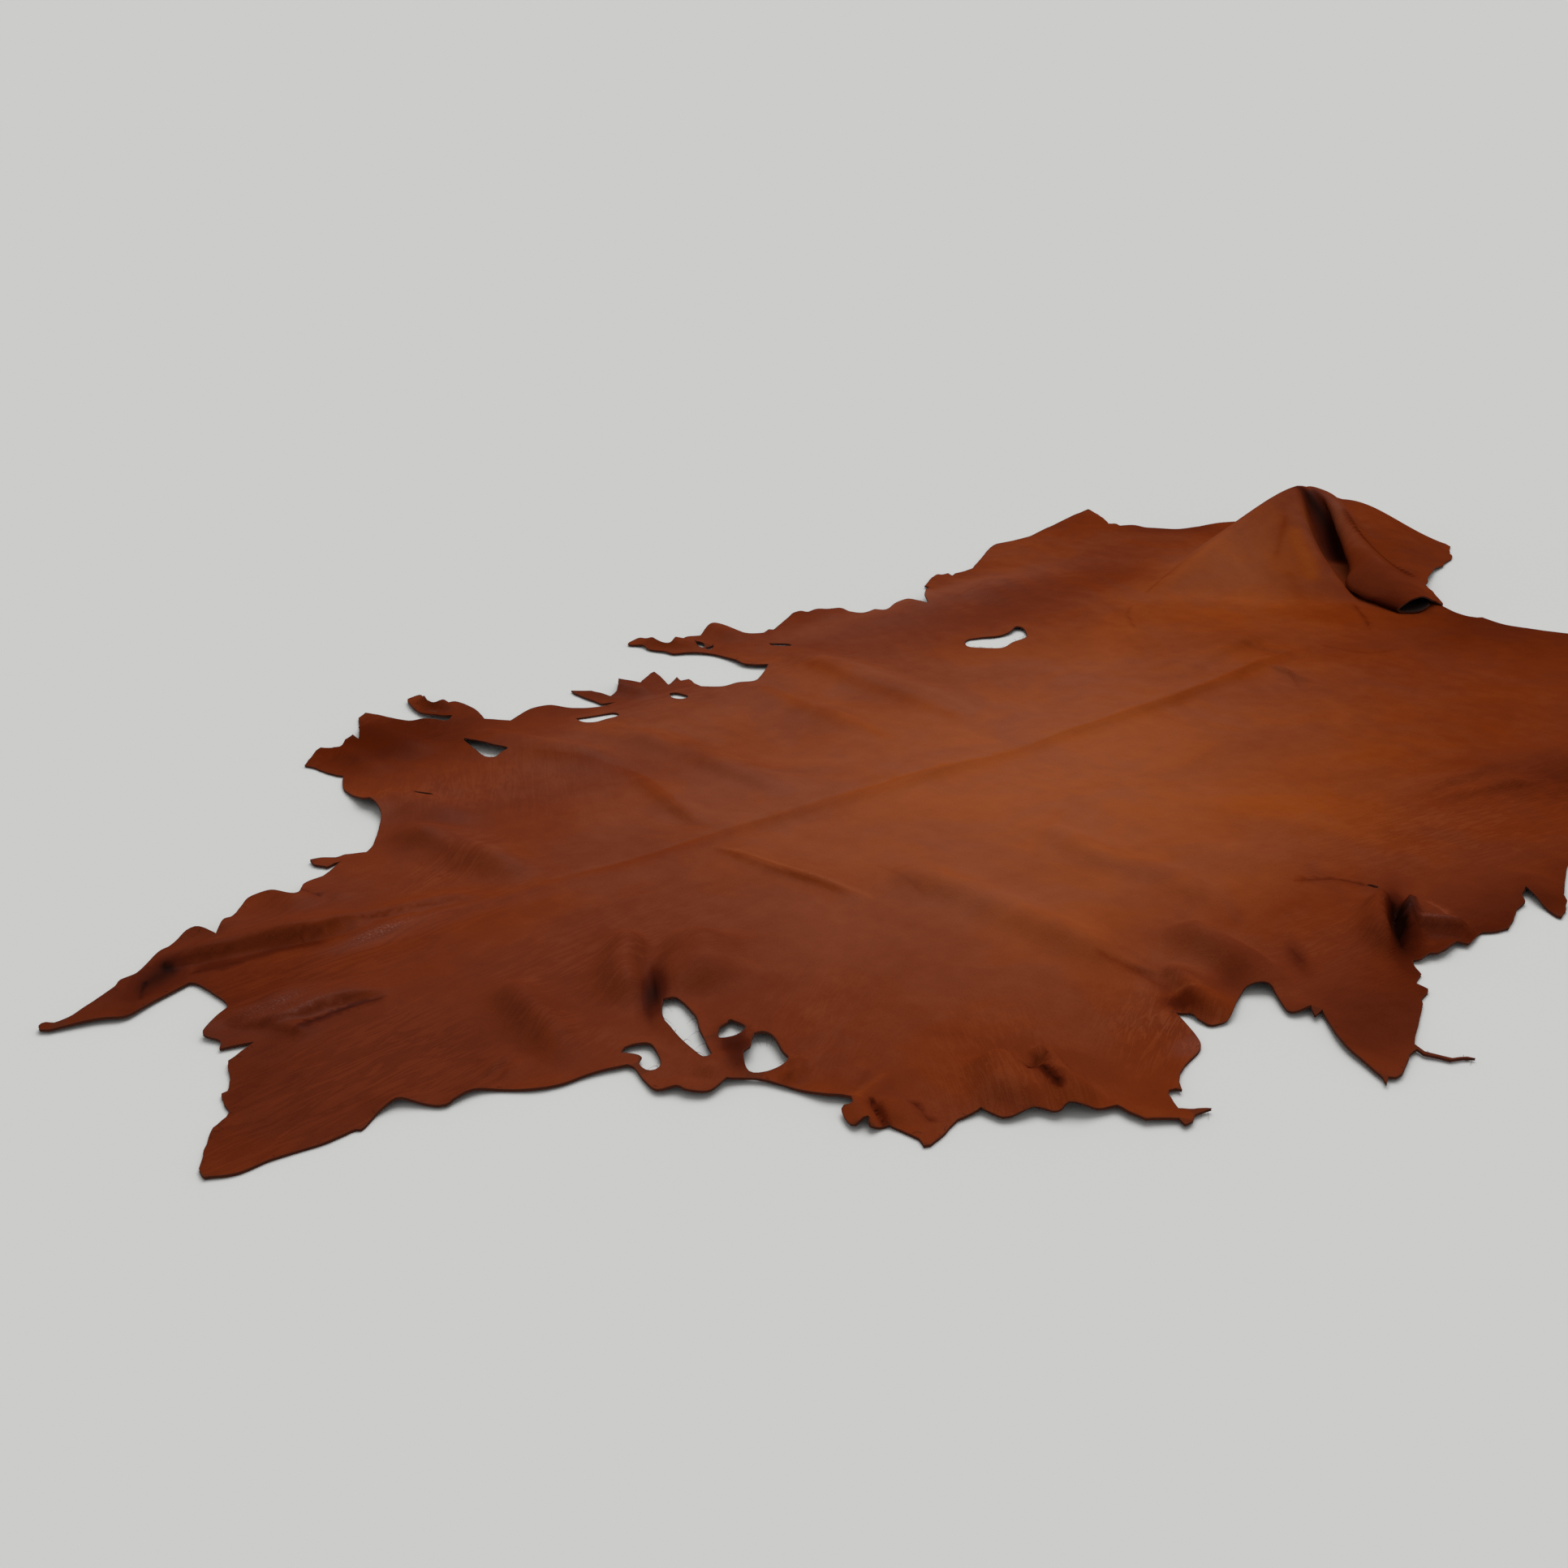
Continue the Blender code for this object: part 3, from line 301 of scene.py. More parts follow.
# The rump and the near flank. The near hind leg is the plain, unpleated twin of the far one.
NEAR_OUTLINE = (
    ("rump", "curved", ((1023, -48), (1019, -71), (1025, -86))),
    ("tail", "torn", ((1033, -91), (1030, -98))),
    ("rump, near half", "curved", ((1025, -138), (1059, -222))),
    ("near leg rear", "curved", ((1112, -266), (1200, -308), (1310, -350), (1372, -380))),
    ("near leg end", "torn", ((1392, -412), (1335, -590), (1205, -765), (1166, -815), (1160, -925))),
    ("near thigh", "curved", ((1060, -905), (930, -868), (840, -848), (770, -845), (690, -808),
        (590, -742), (520, -716), (440, -682))),
    ("near belly", "curved", ((385, -652), (330, -640), (280, -634))),
    ("near hind front", "curved", ((233, -639), (144, -677))),
    ("near hind shreds", "torn", ((138, -684), (128, -687), (120, -692), (103, -696))),
    ("near thigh tip", "curved", ((102, -693), (113, -669), (129, -644))),
    ("near belly front", "torn", ((116, -648), (105, -657), (84, -660), (37, -674))),
    ("near belly edge", "curved", ((23, -671), (8, -663))),
    ("near belly corner", "torn", ((-30, -670), (-36, -661), (-62, -663))),
    ("near crumple", "torn", ((-74, -662), (-80, -657), (-94, -656), (-100, -652))),
    ("near shank rear", "torn", ((-107, -658), (-117, -671), (-137, -677), (-138, -689),
        (-143, -692), (-160, -696), (-167, -702))),
    ("near shank", "curved", ((-225, -729),)),
    ("near string", "torn", ((-237, -737), (-240, -748), (-230, -768), (-217, -775),
        (-214, -781), (-222, -774), (-234, -769), (-246, -750), (-244, -743), (-258, -745))),
    ("near shank end", "curved", ((-287, -755), (-297, -755))),
    ("near shank fringe", "torn", ((-302, -750), (-313, -756), (-307, -749), (-303, -738))),
    ("near shank front", "curved", ((-287, -696), (-255, -653))),
    ("near shank notch", "torn", ((-268, -655), (-259, -644))),
    ("near arch", "curved", ((-274, -640), (-279, -633), (-259, -601), (-262, -594),
        (-281, -586), (-332, -607), (-347, -605), (-353, -601), (-353, -588))),
    ("near curl", "curved", ((-351, -580), (-360, -569))),
    ("near foreleg rear", "curved", ((-385, -617), (-418, -629))),
    ("near foreleg tip", "torn", ((-435, -635), (-449, -643), (-457, -654), (-460, -649),
        (-466, -647), (-472, -651), (-483, -669), (-472, -678), (-459, -685), (-477, -682),
        (-486, -686), (-494, -686), (-492, -678))),
    ("near foreleg end", "torn", ((-510, -665), (-516, -663), (-519, -648), (-520, -636))),
    ("near foreleg front", "curved", ((-540, -627), (-555, -612), (-561, -613), (-568, -610),
        (-573, -599), (-578, -595), (-598, -591), (-606, -586), (-610, -567))),
    ("near foreleg corner", "torn", ((-634, -565), (-662, -574), (-675, -576), (-681, -573),
        (-677, -563), (-683, -539))),
    ("near chest flap", "curved", ((-683, -536), (-700, -530), (-694, -521), (-708, -520),
        (-708, -510), (-704, -500), (-699, -495), (-693, -500), (-688, -492))),
    ("near chest", "curved", ((-690, -484), (-701, -472), (-728, -421), (-752, -403))),
    ("near throat", "curved", ((-775, -408), (-789, -396), (-792, -386), (-808, -376),
        (-803, -337), (-806, -330))),
    ("near cheek", "curved", ((-836, -321), (-865, -319), (-886, -312), (-924, -284),
        (-950, -284), (-955, -286), (-964, -281), (-982, -261), (-989, -257), (-1006, -260),
        (-1026, -272), (-1031, -269), (-1058, -271), (-1100, -265), (-1126, -266), (-1149, -256))),
    ("near cheek end", "torn", ((-1149, -243), (-1139, -225), (-1120, -196), (-1107, -188),
        (-1102, -182), (-1100, -157), (-1098, -152), (-1093, -151), (-1085, -135), (-1082, -119),
        (-1077, -107))),
    ("neck notch", "torn", ((-1048, -93), (-1076, -84))),
    ("neck", "curved", ((-1071, -75), (-1071, -70), (-1079, -51), (-1046, -22), (-1043, -9))),
    ("neck, upper", "curved", ((-1048, 21), (-1054, 43), (-1058, 47))),
    ("far cheek", "curved", ((-1095, 34), (-1120, 22), (-1128, 22), (-1148, 32), (-1186, 41))),
)

# Natural holes and tears, each as its rim
HOLES = {
    "near long tear": ((-722, -262), (-711, -267), (-711, -280), (-716, -305), (-726, -325),
        (-736, -351), (-745, -371), (-749, -367), (-747, -328), (-742, -295), (-734, -278)),
    "near throat hole": ((-801, -312), (-792, -307), (-773, -316), (-779, -341), (-788, -352),
        (-797, -348), (-797, -335), (-790, -329), (-792, -322)),
    "near chest hole": ((-699, -333), (-694, -329), (-691, -349), (-707, -357), (-720, -350),
        (-718, -344), (-709, -335)),
    "near chest tear": ((-693, -365), (-684, -368), (-683, -381), (-690, -400), (-693, -414),
        (-717, -416), (-730, -406), (-720, -385), (-710, -382), (-704, -375)),
    "far foreleg tear": ((-563, 433), (-561, 444), (-554, 420), (-544, 397), (-532, 377),
        (-544, 375), (-555, 372), (-564, 383), (-565, 402)),
    "far belly tear": ((-396, 435), (-374, 429), (-343, 421), (-343, 409), (-362, 408),
        (-382, 407), (-395, 418)),
    "far belly hole": ((-239, 437), (-230, 434), (-224, 420), (-223, 411), (-235, 408),
        (-245, 420)),
    "flank hole": ((262, 345), (279, 353), (300, 347), (328, 335), (356, 335), (379, 344),
        (384, 335), (373, 316), (356, 302), (322, 297), (287, 288), (262, 308), (252, 326)),
    "far shoulder hole": ((-694, 321), (-688, 323), (-673, 311), (-682, 306), (-693, 312)),
    "far strip hole": ((-84, 597), (-71, 602), (-69, 591), (-82, 569), (-89, 575)),
    "far strip slit": ((-81, 569), (-64, 576), (-54, 584), (-67, 568), (-79, 562)),
    "far ear slit": ((17, 533), (39, 511), (34, 499), (14, 520)),
    "near belly hole": ((8, -531), (14, -530), (16, -540), (11, -541)),
}

# Soft patches of lighter or darker colour, partly the dye's own tone and partly painted shade in
# hollows and painted light on slopes that face the light: a centre, two radii, a turn in degrees and a
# strength
PATCH_COLUMNS = ("x", "y", "along", "across", "turn", "strength")
PATCHES = {
    "back": (120, 60, 520, 300, 0, 0.36),
    "back, left": (-420, 60, 160, 120, 0, 0.12),
    "back, right": (350, 120, 160, 90, 0, 0.04),
    "near side": (-120, -260, 420, 280, 0, 0.36),
    "haunch": (800, 300, 300, 200, 0, 0.16),
    "far thigh": (720, 680, 220, 110, 20, 0.16),
    "rump": (1020, -120, 220, 200, 0, -0.28),
    "far band": (520, 445, 220, 62, 5, -0.14),
    "far band, end": (800, 450, 90, 60, 20, -0.12),
    "near belly": (0, -680, 260, 80, 0, -0.40),
    "near flank": (470, -520, 140, 70, -8, -0.28),
    "near foreleg": (-600, -620, 80, 80, 0, 0.04),
    "shank": (-240, -700, 70, 50, 0, -0.12),
    "near rib": (-350, -350, 60, 120, 0, 0.14),
    "neck, middle": (-900, 0, 130, 50, 0, -0.10),
    "neck end": (-1100, -20, 130, 260, 0, -0.28),
    "near cheek": (-930, -230, 160, 120, 0, -0.08),
    "far foreleg": (-640, 520, 130, 110, 0, -0.46),
    "far shreds": (-320, 500, 120, 50, 0, -0.25),
    "far belly": (-230, 340, 300, 90, 0, 0.18),
    "far edge": (300, 550, 320, 40, 4, 0.20),
    "near belly, upper": (-60, -520, 110, 60, 0, -0.12),
    "belly, darker": (-276, -568, 30, 18, 20, -0.26),
    # Painted shade in a crease of the belly
    "belly crease": (-182, -577, 28, 8, 48, -0.40),
    # Painted shade in the open curl's hollow, the near dimple and the throat between the holes
    "open curl": (-1079, 76, 26, 14, 40, -0.90),
    "open curl, core": (-1065, 87, 5, 12, 0, -0.90),
    "near dimple": (-722, -246, 10, 38, -34, -1.4),
    "throat": (-718, -372, 30, 13, 62, -0.85),
    "far leg, end": (1120, 640, 90, 50, -30, -0.22),
    # Painted light: the tent's face made lighter than the rest
    "tent face": (900, 330, 190, 130, 50, 0.28),
    "tent base": (700, 140, 160, 90, 0, -0.05),
    # Painted shade in the pleat's mouth, the pocket under the near curl and the near pit
    "pleat mouth": (1104, -96, 60, 32, -75, -2.6),
    "pocket": (-346, -563, 13, 16, 0, -0.75),
    "near pit": (-45, -602, 60, 11, 36, -1.8),
}

# Fine growth wrinkles: a centre, two radii and a turn of the patch and its wrinkles, the
# distance between wrinkles, and a strength
WRINKLE_COLUMNS = ("x", "y", "along", "across", "turn", "pitch", "strength")
WRINKLES = {
    "neck, near": (-930, -190, 300, 120, 8, 8, 0.9),
    "neck, middle": (-930, 0, 220, 90, 6, 9, 0.8),
    "neck, far": (-960, 110, 180, 60, 12, 8, 0.6),
    "near neck wave": (-836, -222, 42, 84, 23, 7, 1.5),
    "far neck wave": (-752, 118, 90, 44, 28, 7, 0.9),
    "near shoulder": (-660, -380, 160, 120, 30, 6, 0.3),
    "near foreleg": (-560, -560, 140, 90, 60, 5, 0.5),
    "near curl": (-395, -580, 80, 60, 28, 6, 0.9),
    "near flank": (300, -520, 320, 110, -10, 7, 0.6),
    "near belly": (-90, -600, 150, 90, -6, 6, 0.55),
    "far shoulder": (-640, 330, 120, 200, 60, 10, 0.5),
    "far foreleg": (-640, 540, 120, 100, 40, 9, 0.7),
    "far belly": (-180, 430, 260, 60, 0, 10, 0.5),
    "far flank": (500, 500, 300, 60, 4, 12, 0.4),
    "throat": (-704, -362, 30, 24, 40, 5, 1.4),
    "back": (0, 0, 900, 300, 4, 22, 0.06),
}

# Lines of painted light and shade along ridges and creases: darker and warmer on slopes turned from the
# light and in creases and valleys, lighter and cooler as painted highlight and sheen on crests and
# rims; the scratch is a real mark. Each has its effects, a width to its left and to its right, and a
# line through its points.
LINE_COLUMNS = ("tone", "warmth", "left", "right", "points")
BACKBONE = ((-773, 8), (-725, 12), (-661, 14), (-597, 12), (-530, 6), (-455, 2), (-392, -1),
    (-332, -4), (-207, -8), (-143, -14), (-49, -22), (72, -25), (201, -26), (318, -28),
    (421, -20), (563, -4), (692, -2))
NECK_LAP = ((-1015, -105), (-989, -92), (-964, -88), (-941, -89), (-918, -92))
LIGHT_SHADE_AND_SCRATCH_LINES = {
    "backbone": (-0.14, 2.4, 3, 30, BACKBONE),
    "backbone, light": (0.07, -0.8, 9, 3, BACKBONE),
    "near crease": (-0.09, 1.0, 3, 13,
        ((-493, -10), (-480, -50), (-468, -95), (-451, -161), (-438, -213))),
    "near crease, light": (0.12, 0, 6, 3,
        ((-491, -11), (-478, -47), (-466, -90), (-447, -163), (-431, -212), (-430, -240))),
    "far crease": (-0.11, 1.6, 4, 24,
        ((-524, 361), (-472, 286), (-440, 228), (-446, 158), (-462, 78), (-464, 5))),
    "neck roll": (-0.32, 0.2, 9, 9, ((-1052, 68), (-1028, 67), (-1009, 61), (-985, 58), (-965, 57),
        (-944, 48), (-915, 42))),
    "neck roll, line": (-0.5, 0, 3, 3, ((-1054, 64), (-1040, 63), (-1021, 59), (-1000, 54))),
    "neck lap, line": (-0.7, 0, 3, 3, NECK_LAP),
    "neck lap, shadow": (-0.14, 0, 3, 16, NECK_LAP),
    "open curl": (-0.5, 0, 4, 4, ((-1088, 78), (-1095, 66), (-1105, 44))),
    "far wave": (-0.11, 1.8, 16, 24, ((-33, 428), (-8, 390), (-6, 265), (14, 138), (24, 80))),
    "far wave, light": (0.05, -0.6, 20, 20, ((24, 440), (36, 390), (40, 265), (58, 138), (64, 80))),
    "far wave, second": (-0.08, 1.6, 16, 22, ((-114, 395), (-128, 283), (-123, 191), (-102, 95))),
    "near side": (-0.08, 0, 4, 4, ((-375, -163), (-377, -211), (-385, -258))),
    "near flank": (-0.40, 0, 3, 3, ((-50, -478), (-30, -488), (-8, -499), (3, -516), (9, -537))),
    "near flank, end": (-0.3, 0, 3, 3, ((9, -543), (6, -560), (-12, -578))),
    "rump": (-0.10, 0, 6, 3, ((552, -10), (538, -60), (490, -113))),
    "tent foot": (-0.20, 0, 5, 2, ((700, 346), (760, 368), (825, 386), (907, 392))),
    "tent base, left": (-0.14, 0, 3, 4, ((638, 321), (590, 290), (556, 254), (526, 218))),
    "tent base, right": (-0.30, 0, 3, 4, ((940, 92), (883, 34), (823, -18))),
    "tent base, long": (-0.12, 0, 10, 4, ((690, -4), (702, -53), (721, -83), (781, -101))),
    "tent rim": (-0.08, -1.4, 7, 8, ((1062, 300), (1049, 266), (1020, 220), (979, 164))),
    "tent face": (0.10, 2.0, 18, 18, ((1044, 292), (1015, 262), (982, 219), (940, 170))),
    "tent face, shade": (-0.14, 0.4, 10, 10, ((1056, 322), (1031, 306), (990, 283), (942, 257))),
    "tent face, lower shade": (-0.07, 0.2, 18, 18, ((944, 226), (921, 206), (896, 169), (866, 136))),
    "tent valley": (-1.3, 0, 24, 34, ((1180, 372), (1165, 351), (1159, 321), (1148, 280), (1110, 220))),
    "roll crease": (-0.6, 0, 5, 5, ((1196, 270), (1206, 244), (1225, 182), (1238, 119),
        (1257, 62), (1276, 12), (1288, -40), (1296, -84))),
    "roll": (0.16, -1.6, 18, 18, ((1176, 310), (1211, 186), (1228, 70), (1244, -65))),
    "near pit, rim": (0.35, -0.4, 4, 4, ((-34, -596), (-50, -614), (-77, -633), (-90, -646))),
    "near bump": (0.30, -0.4, 4, 4, ((27, -584), (23, -609), (6, -633), (-22, -646))),
    "near rib": (-0.16, 0, 3, 9, ((-342, -450), (-331, -498), (-331, -523), (-337, -550))),
    "pocket, rim": (0.25, 0, 3, 3, ((-342, -544), (-332, -552), (-326, -564))),
    "far armpit": (-0.4, 0, 3, 3, ((-914, 160), (-898, 151), (-888, 134))),
    "foreleg fold": (-1.3, 0, 5, 5, ((-533, -546), (-540, -572), (-548, -602))),
    "chest fold": (-1.4, 0, 4, 3, ((-672, -498), (-680, -516), (-687, -536), (-692, -550))),
    "chest flap": (0.12, 0.8, 8, 8, ((-686, -492), (-672, -486), (-655, -484), (-640, -480))),
    "scratch": (-0.5, 0, 2, 2, ((-648, -516), (-649, -532), (-655, -556))),
}

# Where the colour is warmer, or cooler for a strength below 0: partly the dye's own hue, partly painted
# sheen that cools the far side and warmer painted shade on slopes turned from the light
WARMTHS = {
    "tent base": (700, 130, 260, 170, 0, 1.6),
    "near flank": (220, -320, 240, 130, 0, 1.5),
    "right side": (600, -350, 160, 110, 0, 1.0),
    "near belly": (-40, -560, 240, 90, 0, -0.3),
    "far foreleg": (-640, 520, 140, 120, 0, 1.3),
    "neck, middle": (-900, 0, 160, 60, 0, 0.9),
    "rump": (900, -100, 200, 200, 0, 0.6),
    "near neck": (-960, -200, 200, 110, 0, -1.5),
    "far neck": (-900, 115, 140, 50, 0, -1.4),
    "shoulder": (-620, -250, 200, 150, 0, -1.9),
    "far shoulder": (-600, 300, 160, 110, 0, -0.6),
    "back, left": (-420, 60, 220, 150, 0, -0.7),
    "back": (0, 60, 200, 120, 0, -0.4),
    "back, right": (350, 120, 180, 110, 0, -0.6),
    "far belly": (-200, 350, 200, 80, 0, -0.6),
    "far edge": (300, 545, 300, 50, 0, -2.0),
    "shank": (-230, -700, 80, 60, 0, -1.9),
    "near foreleg": (-500, -560, 90, 60, 0, -0.7),
}

# Where the glaze is thicker, and rubbed glossy above a strength of 0.3
POLISHED = {
    "whole": (-600, 200, 900, 500, 0, 0.20),
    "back": (50, 60, 500, 300, 0, 0.03),
    "far side": (0, 450, 500, 120, 0, 0.10),
    "far flank": (460, 545, 300, 50, 4, 0.28),
    "far foreleg": (-640, 520, 140, 110, 0, -0.12),
    "tent face": (930, 420, 160, 120, 40, 0.04),
    "pleat": (1120, 250, 160, 60, 50, 0.30),
    "neck lap": (-1010, -55, 50, 24, 0, 0.9),
    "neck roll": (-865, 28, 46, 11, 8, 0.8),
    "near foreleg": (-392, -614, 20, 10, 0, 0.7),
    "near crumple": (-20, -620, 20, 20, 0, 0.8),
}

# The hide's place: the middle of its box on the plan, which is the frame's origin
CENTRE = (121.93, -41.5)

BASE_TONE = 0.38
NARROW = 18.0  # folds and lines of painted light and shade no wider than this on a side get their own rows of points
ROW_STEP = 0.6  # share of the sheet's spacing between the points of a row
ROW_REACH = 0.8  # share of the narrow side that the rows cover
ROW_PLACES = (-1.0, -0.5, 0.0, 0.5, 1.0)
LEAST_APART = 0.4  # share of the sheet's spacing: closer points are left out
PLEAT_MARGIN = 0.5  # share of the spacing left free round the pleat's own points
CLEARANCE = {"upper": 3.4, "lower": 5.0}  # how far the inner points keep from the edge
MERGE_DISTANCE = 1e-4
SAME_POINT = 0.1
CURVE_SAMPLES = 12  # points on each stretch of a curved run
LINE_SAMPLES = 5  # the same on a fold's line
PART_SIZE = 1500  # points worked out at a time

# Roughness of the edge: every how many points, and the share of that wavelength
EDGE_WAVES = ((2, 0.3), (5, 0.45), (13, 0.7))
CURVED_ROUGHNESS = 0.4  # how rough curved runs are next to torn ones
OUTLINE_SEED = 11
HOLE_SEED = 40
HOLE_ROUGHNESS = 0.5
WAIST_SEED = 5
WAIST_BULGE = (0.03, 0.24)  # how far the cut edge's middle stands in, over the thickness
WAIST_LOW = 0.3  # how low that middle may lie, over the thickness
LEAST_TOP = 0.8  # the same for the upper face

# Loose fibres along the edge
STRAND_SEED = 21
STRAND_POINTS = 5
STRAND_SPREAD = (1 / 3, 5 / 3)  # shortest and longest, over the mean length
STRAND_RADIUS = 0.22
STRAND_TURN = 0.7  # how far they turn from straight out, in radians
STRAND_BEND = 0.5
STRAND_RISE = 3.0
STRAND_LOW = 0.3
STRAND_TAPER = 0.8
STRAND_CORNERS = (90.0, 210.0, 330.0)

# Noises of the materials. The scale is in waves per metre, except where it is 1.0: there the
# place is stretched first.
NOISE_COLUMNS = ("Scale", "Detail", "Roughness", "Distortion")
NOISES = {
    "broad dye": (7.0, 4.0, 0.55, 0.6),
    "small dye": (38.0, 3.0, 0.6, 0.0),
    "streaks": (1.0, 4.0, 0.6, 0.8),
    "warm clouds": (6.0, 4.0, 0.6, 0.4),
    "wrinkles": (0.9, 2.0, 0.55, 0.7),
    "fine wrinkles": (1.0, 3.0, 0.6, 0.0),
    "lumps": (95.0, 3.0, 0.6, 0.0),
    "flecks": (1.0, 2.0, 0.6, 0.0),
    "fibres": (520.0, 3.0, 0.7, 2.0),
    "tufts": (120.0, 3.0, 0.6, 1.0),
    "core": (60.0, 3.0, 0.6, 0.0),
}

# Dye: clouds of two sizes and streaks, and what each thing adds to the tone or the tint
CLOUD_SIZE = NOISES["broad dye"][0]
SMALL_SHARE = 0.35
STREAKS = 0.05
STREAK_SCALE = (9.0, 60.0)  # waves per metre along X and along Y
WRINKLE_MIDDLE = 0.8  # height of a wrinkle that leaves the tone as it is
# Painted shade in the wrinkles' grooves, with painted light on their ridges, and painted shade in the
# pores
WRINKLE_SHADE = 0.16
PORE_SHADE = -0.10
MIDDLE_TONE = 0.4  # where the middle dye shows
WARM_CLOUDS = (0.36, 0.64)  # from this noise to that one the tint turns warmer
WARM_RANGE = (0.12, 0.57)
WARMTH_SHARE = 0.36  # what a warmth of 1 adds
CREASE_SHADE_TONES = (-1.0, 0.0)  # between these tones the painted shade of the deepest creases gives way to the dye
CREASE_SHADE_SHOWN = (0.05, 1.0)
EDGE_BAND = 0.0018  # width of the darker dye along the edge, in metres
EDGE_SHARE = 0.6
ROUGHNESS_SHARE = 0.12  # how much uneven dye roughens the grain

# Pebble grain: cells of two sizes, the cracks' widths and the pores' radii over a cell's size
PEBBLES = 460.0
WIDE_CELLS = 0.45
WIDE_SHARE = 0.4
FINE_CRACK = 0.30
WIDE_CRACK = 0.22
PORE_SIZE = (0.05, 0.16)
PORE_DEPTH = -0.3

# Growth wrinkles
WRINKLE_LENGTH = 0.14  # width over length
GROOVE_SIDE = 0.14  # how far from its middle the noise is where a groove's side ends
FINE_WRINKLE_SCALE = (1.7, 2.6)
FINE_WRINKLE_SHARE = 0.5

# Glaze: even up to the first polish, and above it in flecks, which reach their full strength
# at the second one
RUBBED = (0.3, 0.9)
FLECK_SCALE = (420.0, 640.0)  # flecks per metre along X and along Y
FLECK_RANGE = (0.52, 0.72)
FLECK_STRENGTH = 1.6

# Open fibres of the flesh side and of the cut edge: how many per metre, how high the nap, in
# metres, and how rough
FIBRE_STRETCH = (1.0, 0.4)
FIBRE_SPECULAR = 0.1
FLESH_FIBRES = NOISES["fibres"][0]
FLESH_NAP = 0.0007
FLESH_ROUGHNESS = (0.8, 0.97)
FLESH_LIGHTER = 1.5
EDGE_FIBRES = 700.0
EDGE_NAP = 0.0006
EDGE_ROUGHNESS = (0.75, 0.95)
CORE_SHOWN = (0.45, 0.75)

FLOOR_DROP = -0.0002  # the floor lies just under the leather, in metres

KEY_TURN = (34.0, 0.0, 128.0)  # the soft light's turn in degrees: it comes from the far side
CAMERA_PLACE = (-1.5247, -1.2671, 0.7581)
CAMERA_TURN = (66.8, 0.0, -38.22)
CAMERA_LENS = 35.404
CAMERA_SENSOR = 36.0


def smooth(t):
    """0 to 1 with level ends: 3 t squared less 2 t cubed."""
    t = np.clip(t, 0.0, 1.0)
    return t * t * (3.0 - 2.0 * t)


def hermite(t, start, pull_start, end, pull_end):
    """A place on the cubic curve from start to end that leaves and arrives along the pulls."""
    return (
        (2 * t**3 - 3 * t**2 + 1) * start + (t**3 - 2 * t**2 + t) * pull_start
        + (3 * t**2 - 2 * t**3) * end + (t**3 - t**2) * pull_end
    )


def no_longer(pull, reach):
    """The pull, cut down to the reach where it is longer, so that a curve doesn't loop."""
    size = np.linalg.norm(pull, axis=-1, keepdims=True) + TINY
    return pull * np.minimum(1.0, reach / size)


def cloud(points, cell, seed):
    """Value noise from -1 to 1: random numbers at the corners of square cells of this width,
    blended between them with level slopes."""
    low = points.min(0) - cell
    place = (points - low) / cell
    whole = place.astype(int)
    part = smooth(place - whole)
    values = np.random.default_rng(seed).uniform(-1, 1, tuple(whole.max(0) + 2))
    i, j = whole.T
    fi, fj = part.T
    near = values[i, j] * (1 - fi) + values[i + 1, j] * fi
    far = values[i, j + 1] * (1 - fi) + values[i + 1, j + 1] * fi
    return near * (1 - fj) + far * fj


def fold_axes():
    """The fold frame's own axes, seen on the plan: along the fold and across it."""
    turn = np.radians(FOLD_TURN)
    return np.array([np.cos(turn), np.sin(turn)]), np.array([np.sin(turn), -np.cos(turn)])


def to_fold(points):
    """Along and across in the fold frame."""
    along, across = fold_axes()
    return np.stack([points @ along, points @ across], -1)


def from_fold(points):
    """The plan's X and Y of points that are given along and across."""
    along, across = fold_axes()
    return points[:, :1] * along + points[:, 1:] * across


def rounded(points, samples=CURVE_SAMPLES):
    """A smooth path through the points: a cubic curve between each two, whose pull at a point
    is half the way from the point before it to the one after."""
    points = np.asarray(points, float)
    before = np.vstack([2 * points[0] - points[1], points[:-1]])
    after = np.vstack([points[1:], 2 * points[-1] - points[-2]])
    pull = (after - before) / 2
    t = np.linspace(0, 1, samples, endpoint=False)[:, None]
    pieces = []
    for i, (a, b) in enumerate(zip(points[:-1], points[1:])):
        reach = np.linalg.norm(b - a)
        pulls = no_longer(pull[i], reach), no_longer(pull[i + 1], reach)
        pieces.append(hermite(t, a, pulls[0], b, pulls[1]))
    return np.vstack([*pieces, points[-1:]])


def evenly(points, spacing):
    """The path again, with its points evenly spaced."""
    steps = np.linalg.norm(np.diff(points, axis=0), axis=1)
    length = np.concatenate([[0], np.cumsum(steps)])
    count = max(2, int(round(length[-1] / spacing)) + 1)
    at = np.linspace(0, length[-1], count)
    return np.stack([np.interp(at, length, points[:, k]) for k in (0, 1)], -1)


def roughened(ring, amount, seed):
    """The ring with its points pushed in and out across it: noise of three wavelengths."""
    rng = np.random.default_rng(seed)
    n = len(ring)
    push = np.zeros(n)
    for every, share in EDGE_WAVES:
        count = max(3, n // every)
        values = rng.uniform(-1, 1, count + 1)
        values[-1] = values[0]
        push += share * np.interp(np.linspace(0, count, n), np.arange(count + 1), values)
    forward = np.roll(ring, -1, axis=0) - np.roll(ring, 1, axis=0)
    forward /= np.linalg.norm(forward, axis=1, keepdims=True) + TINY
    return ring + np.column_stack([forward[:, 1], -forward[:, 0]]) * (push * amount)[:, None]


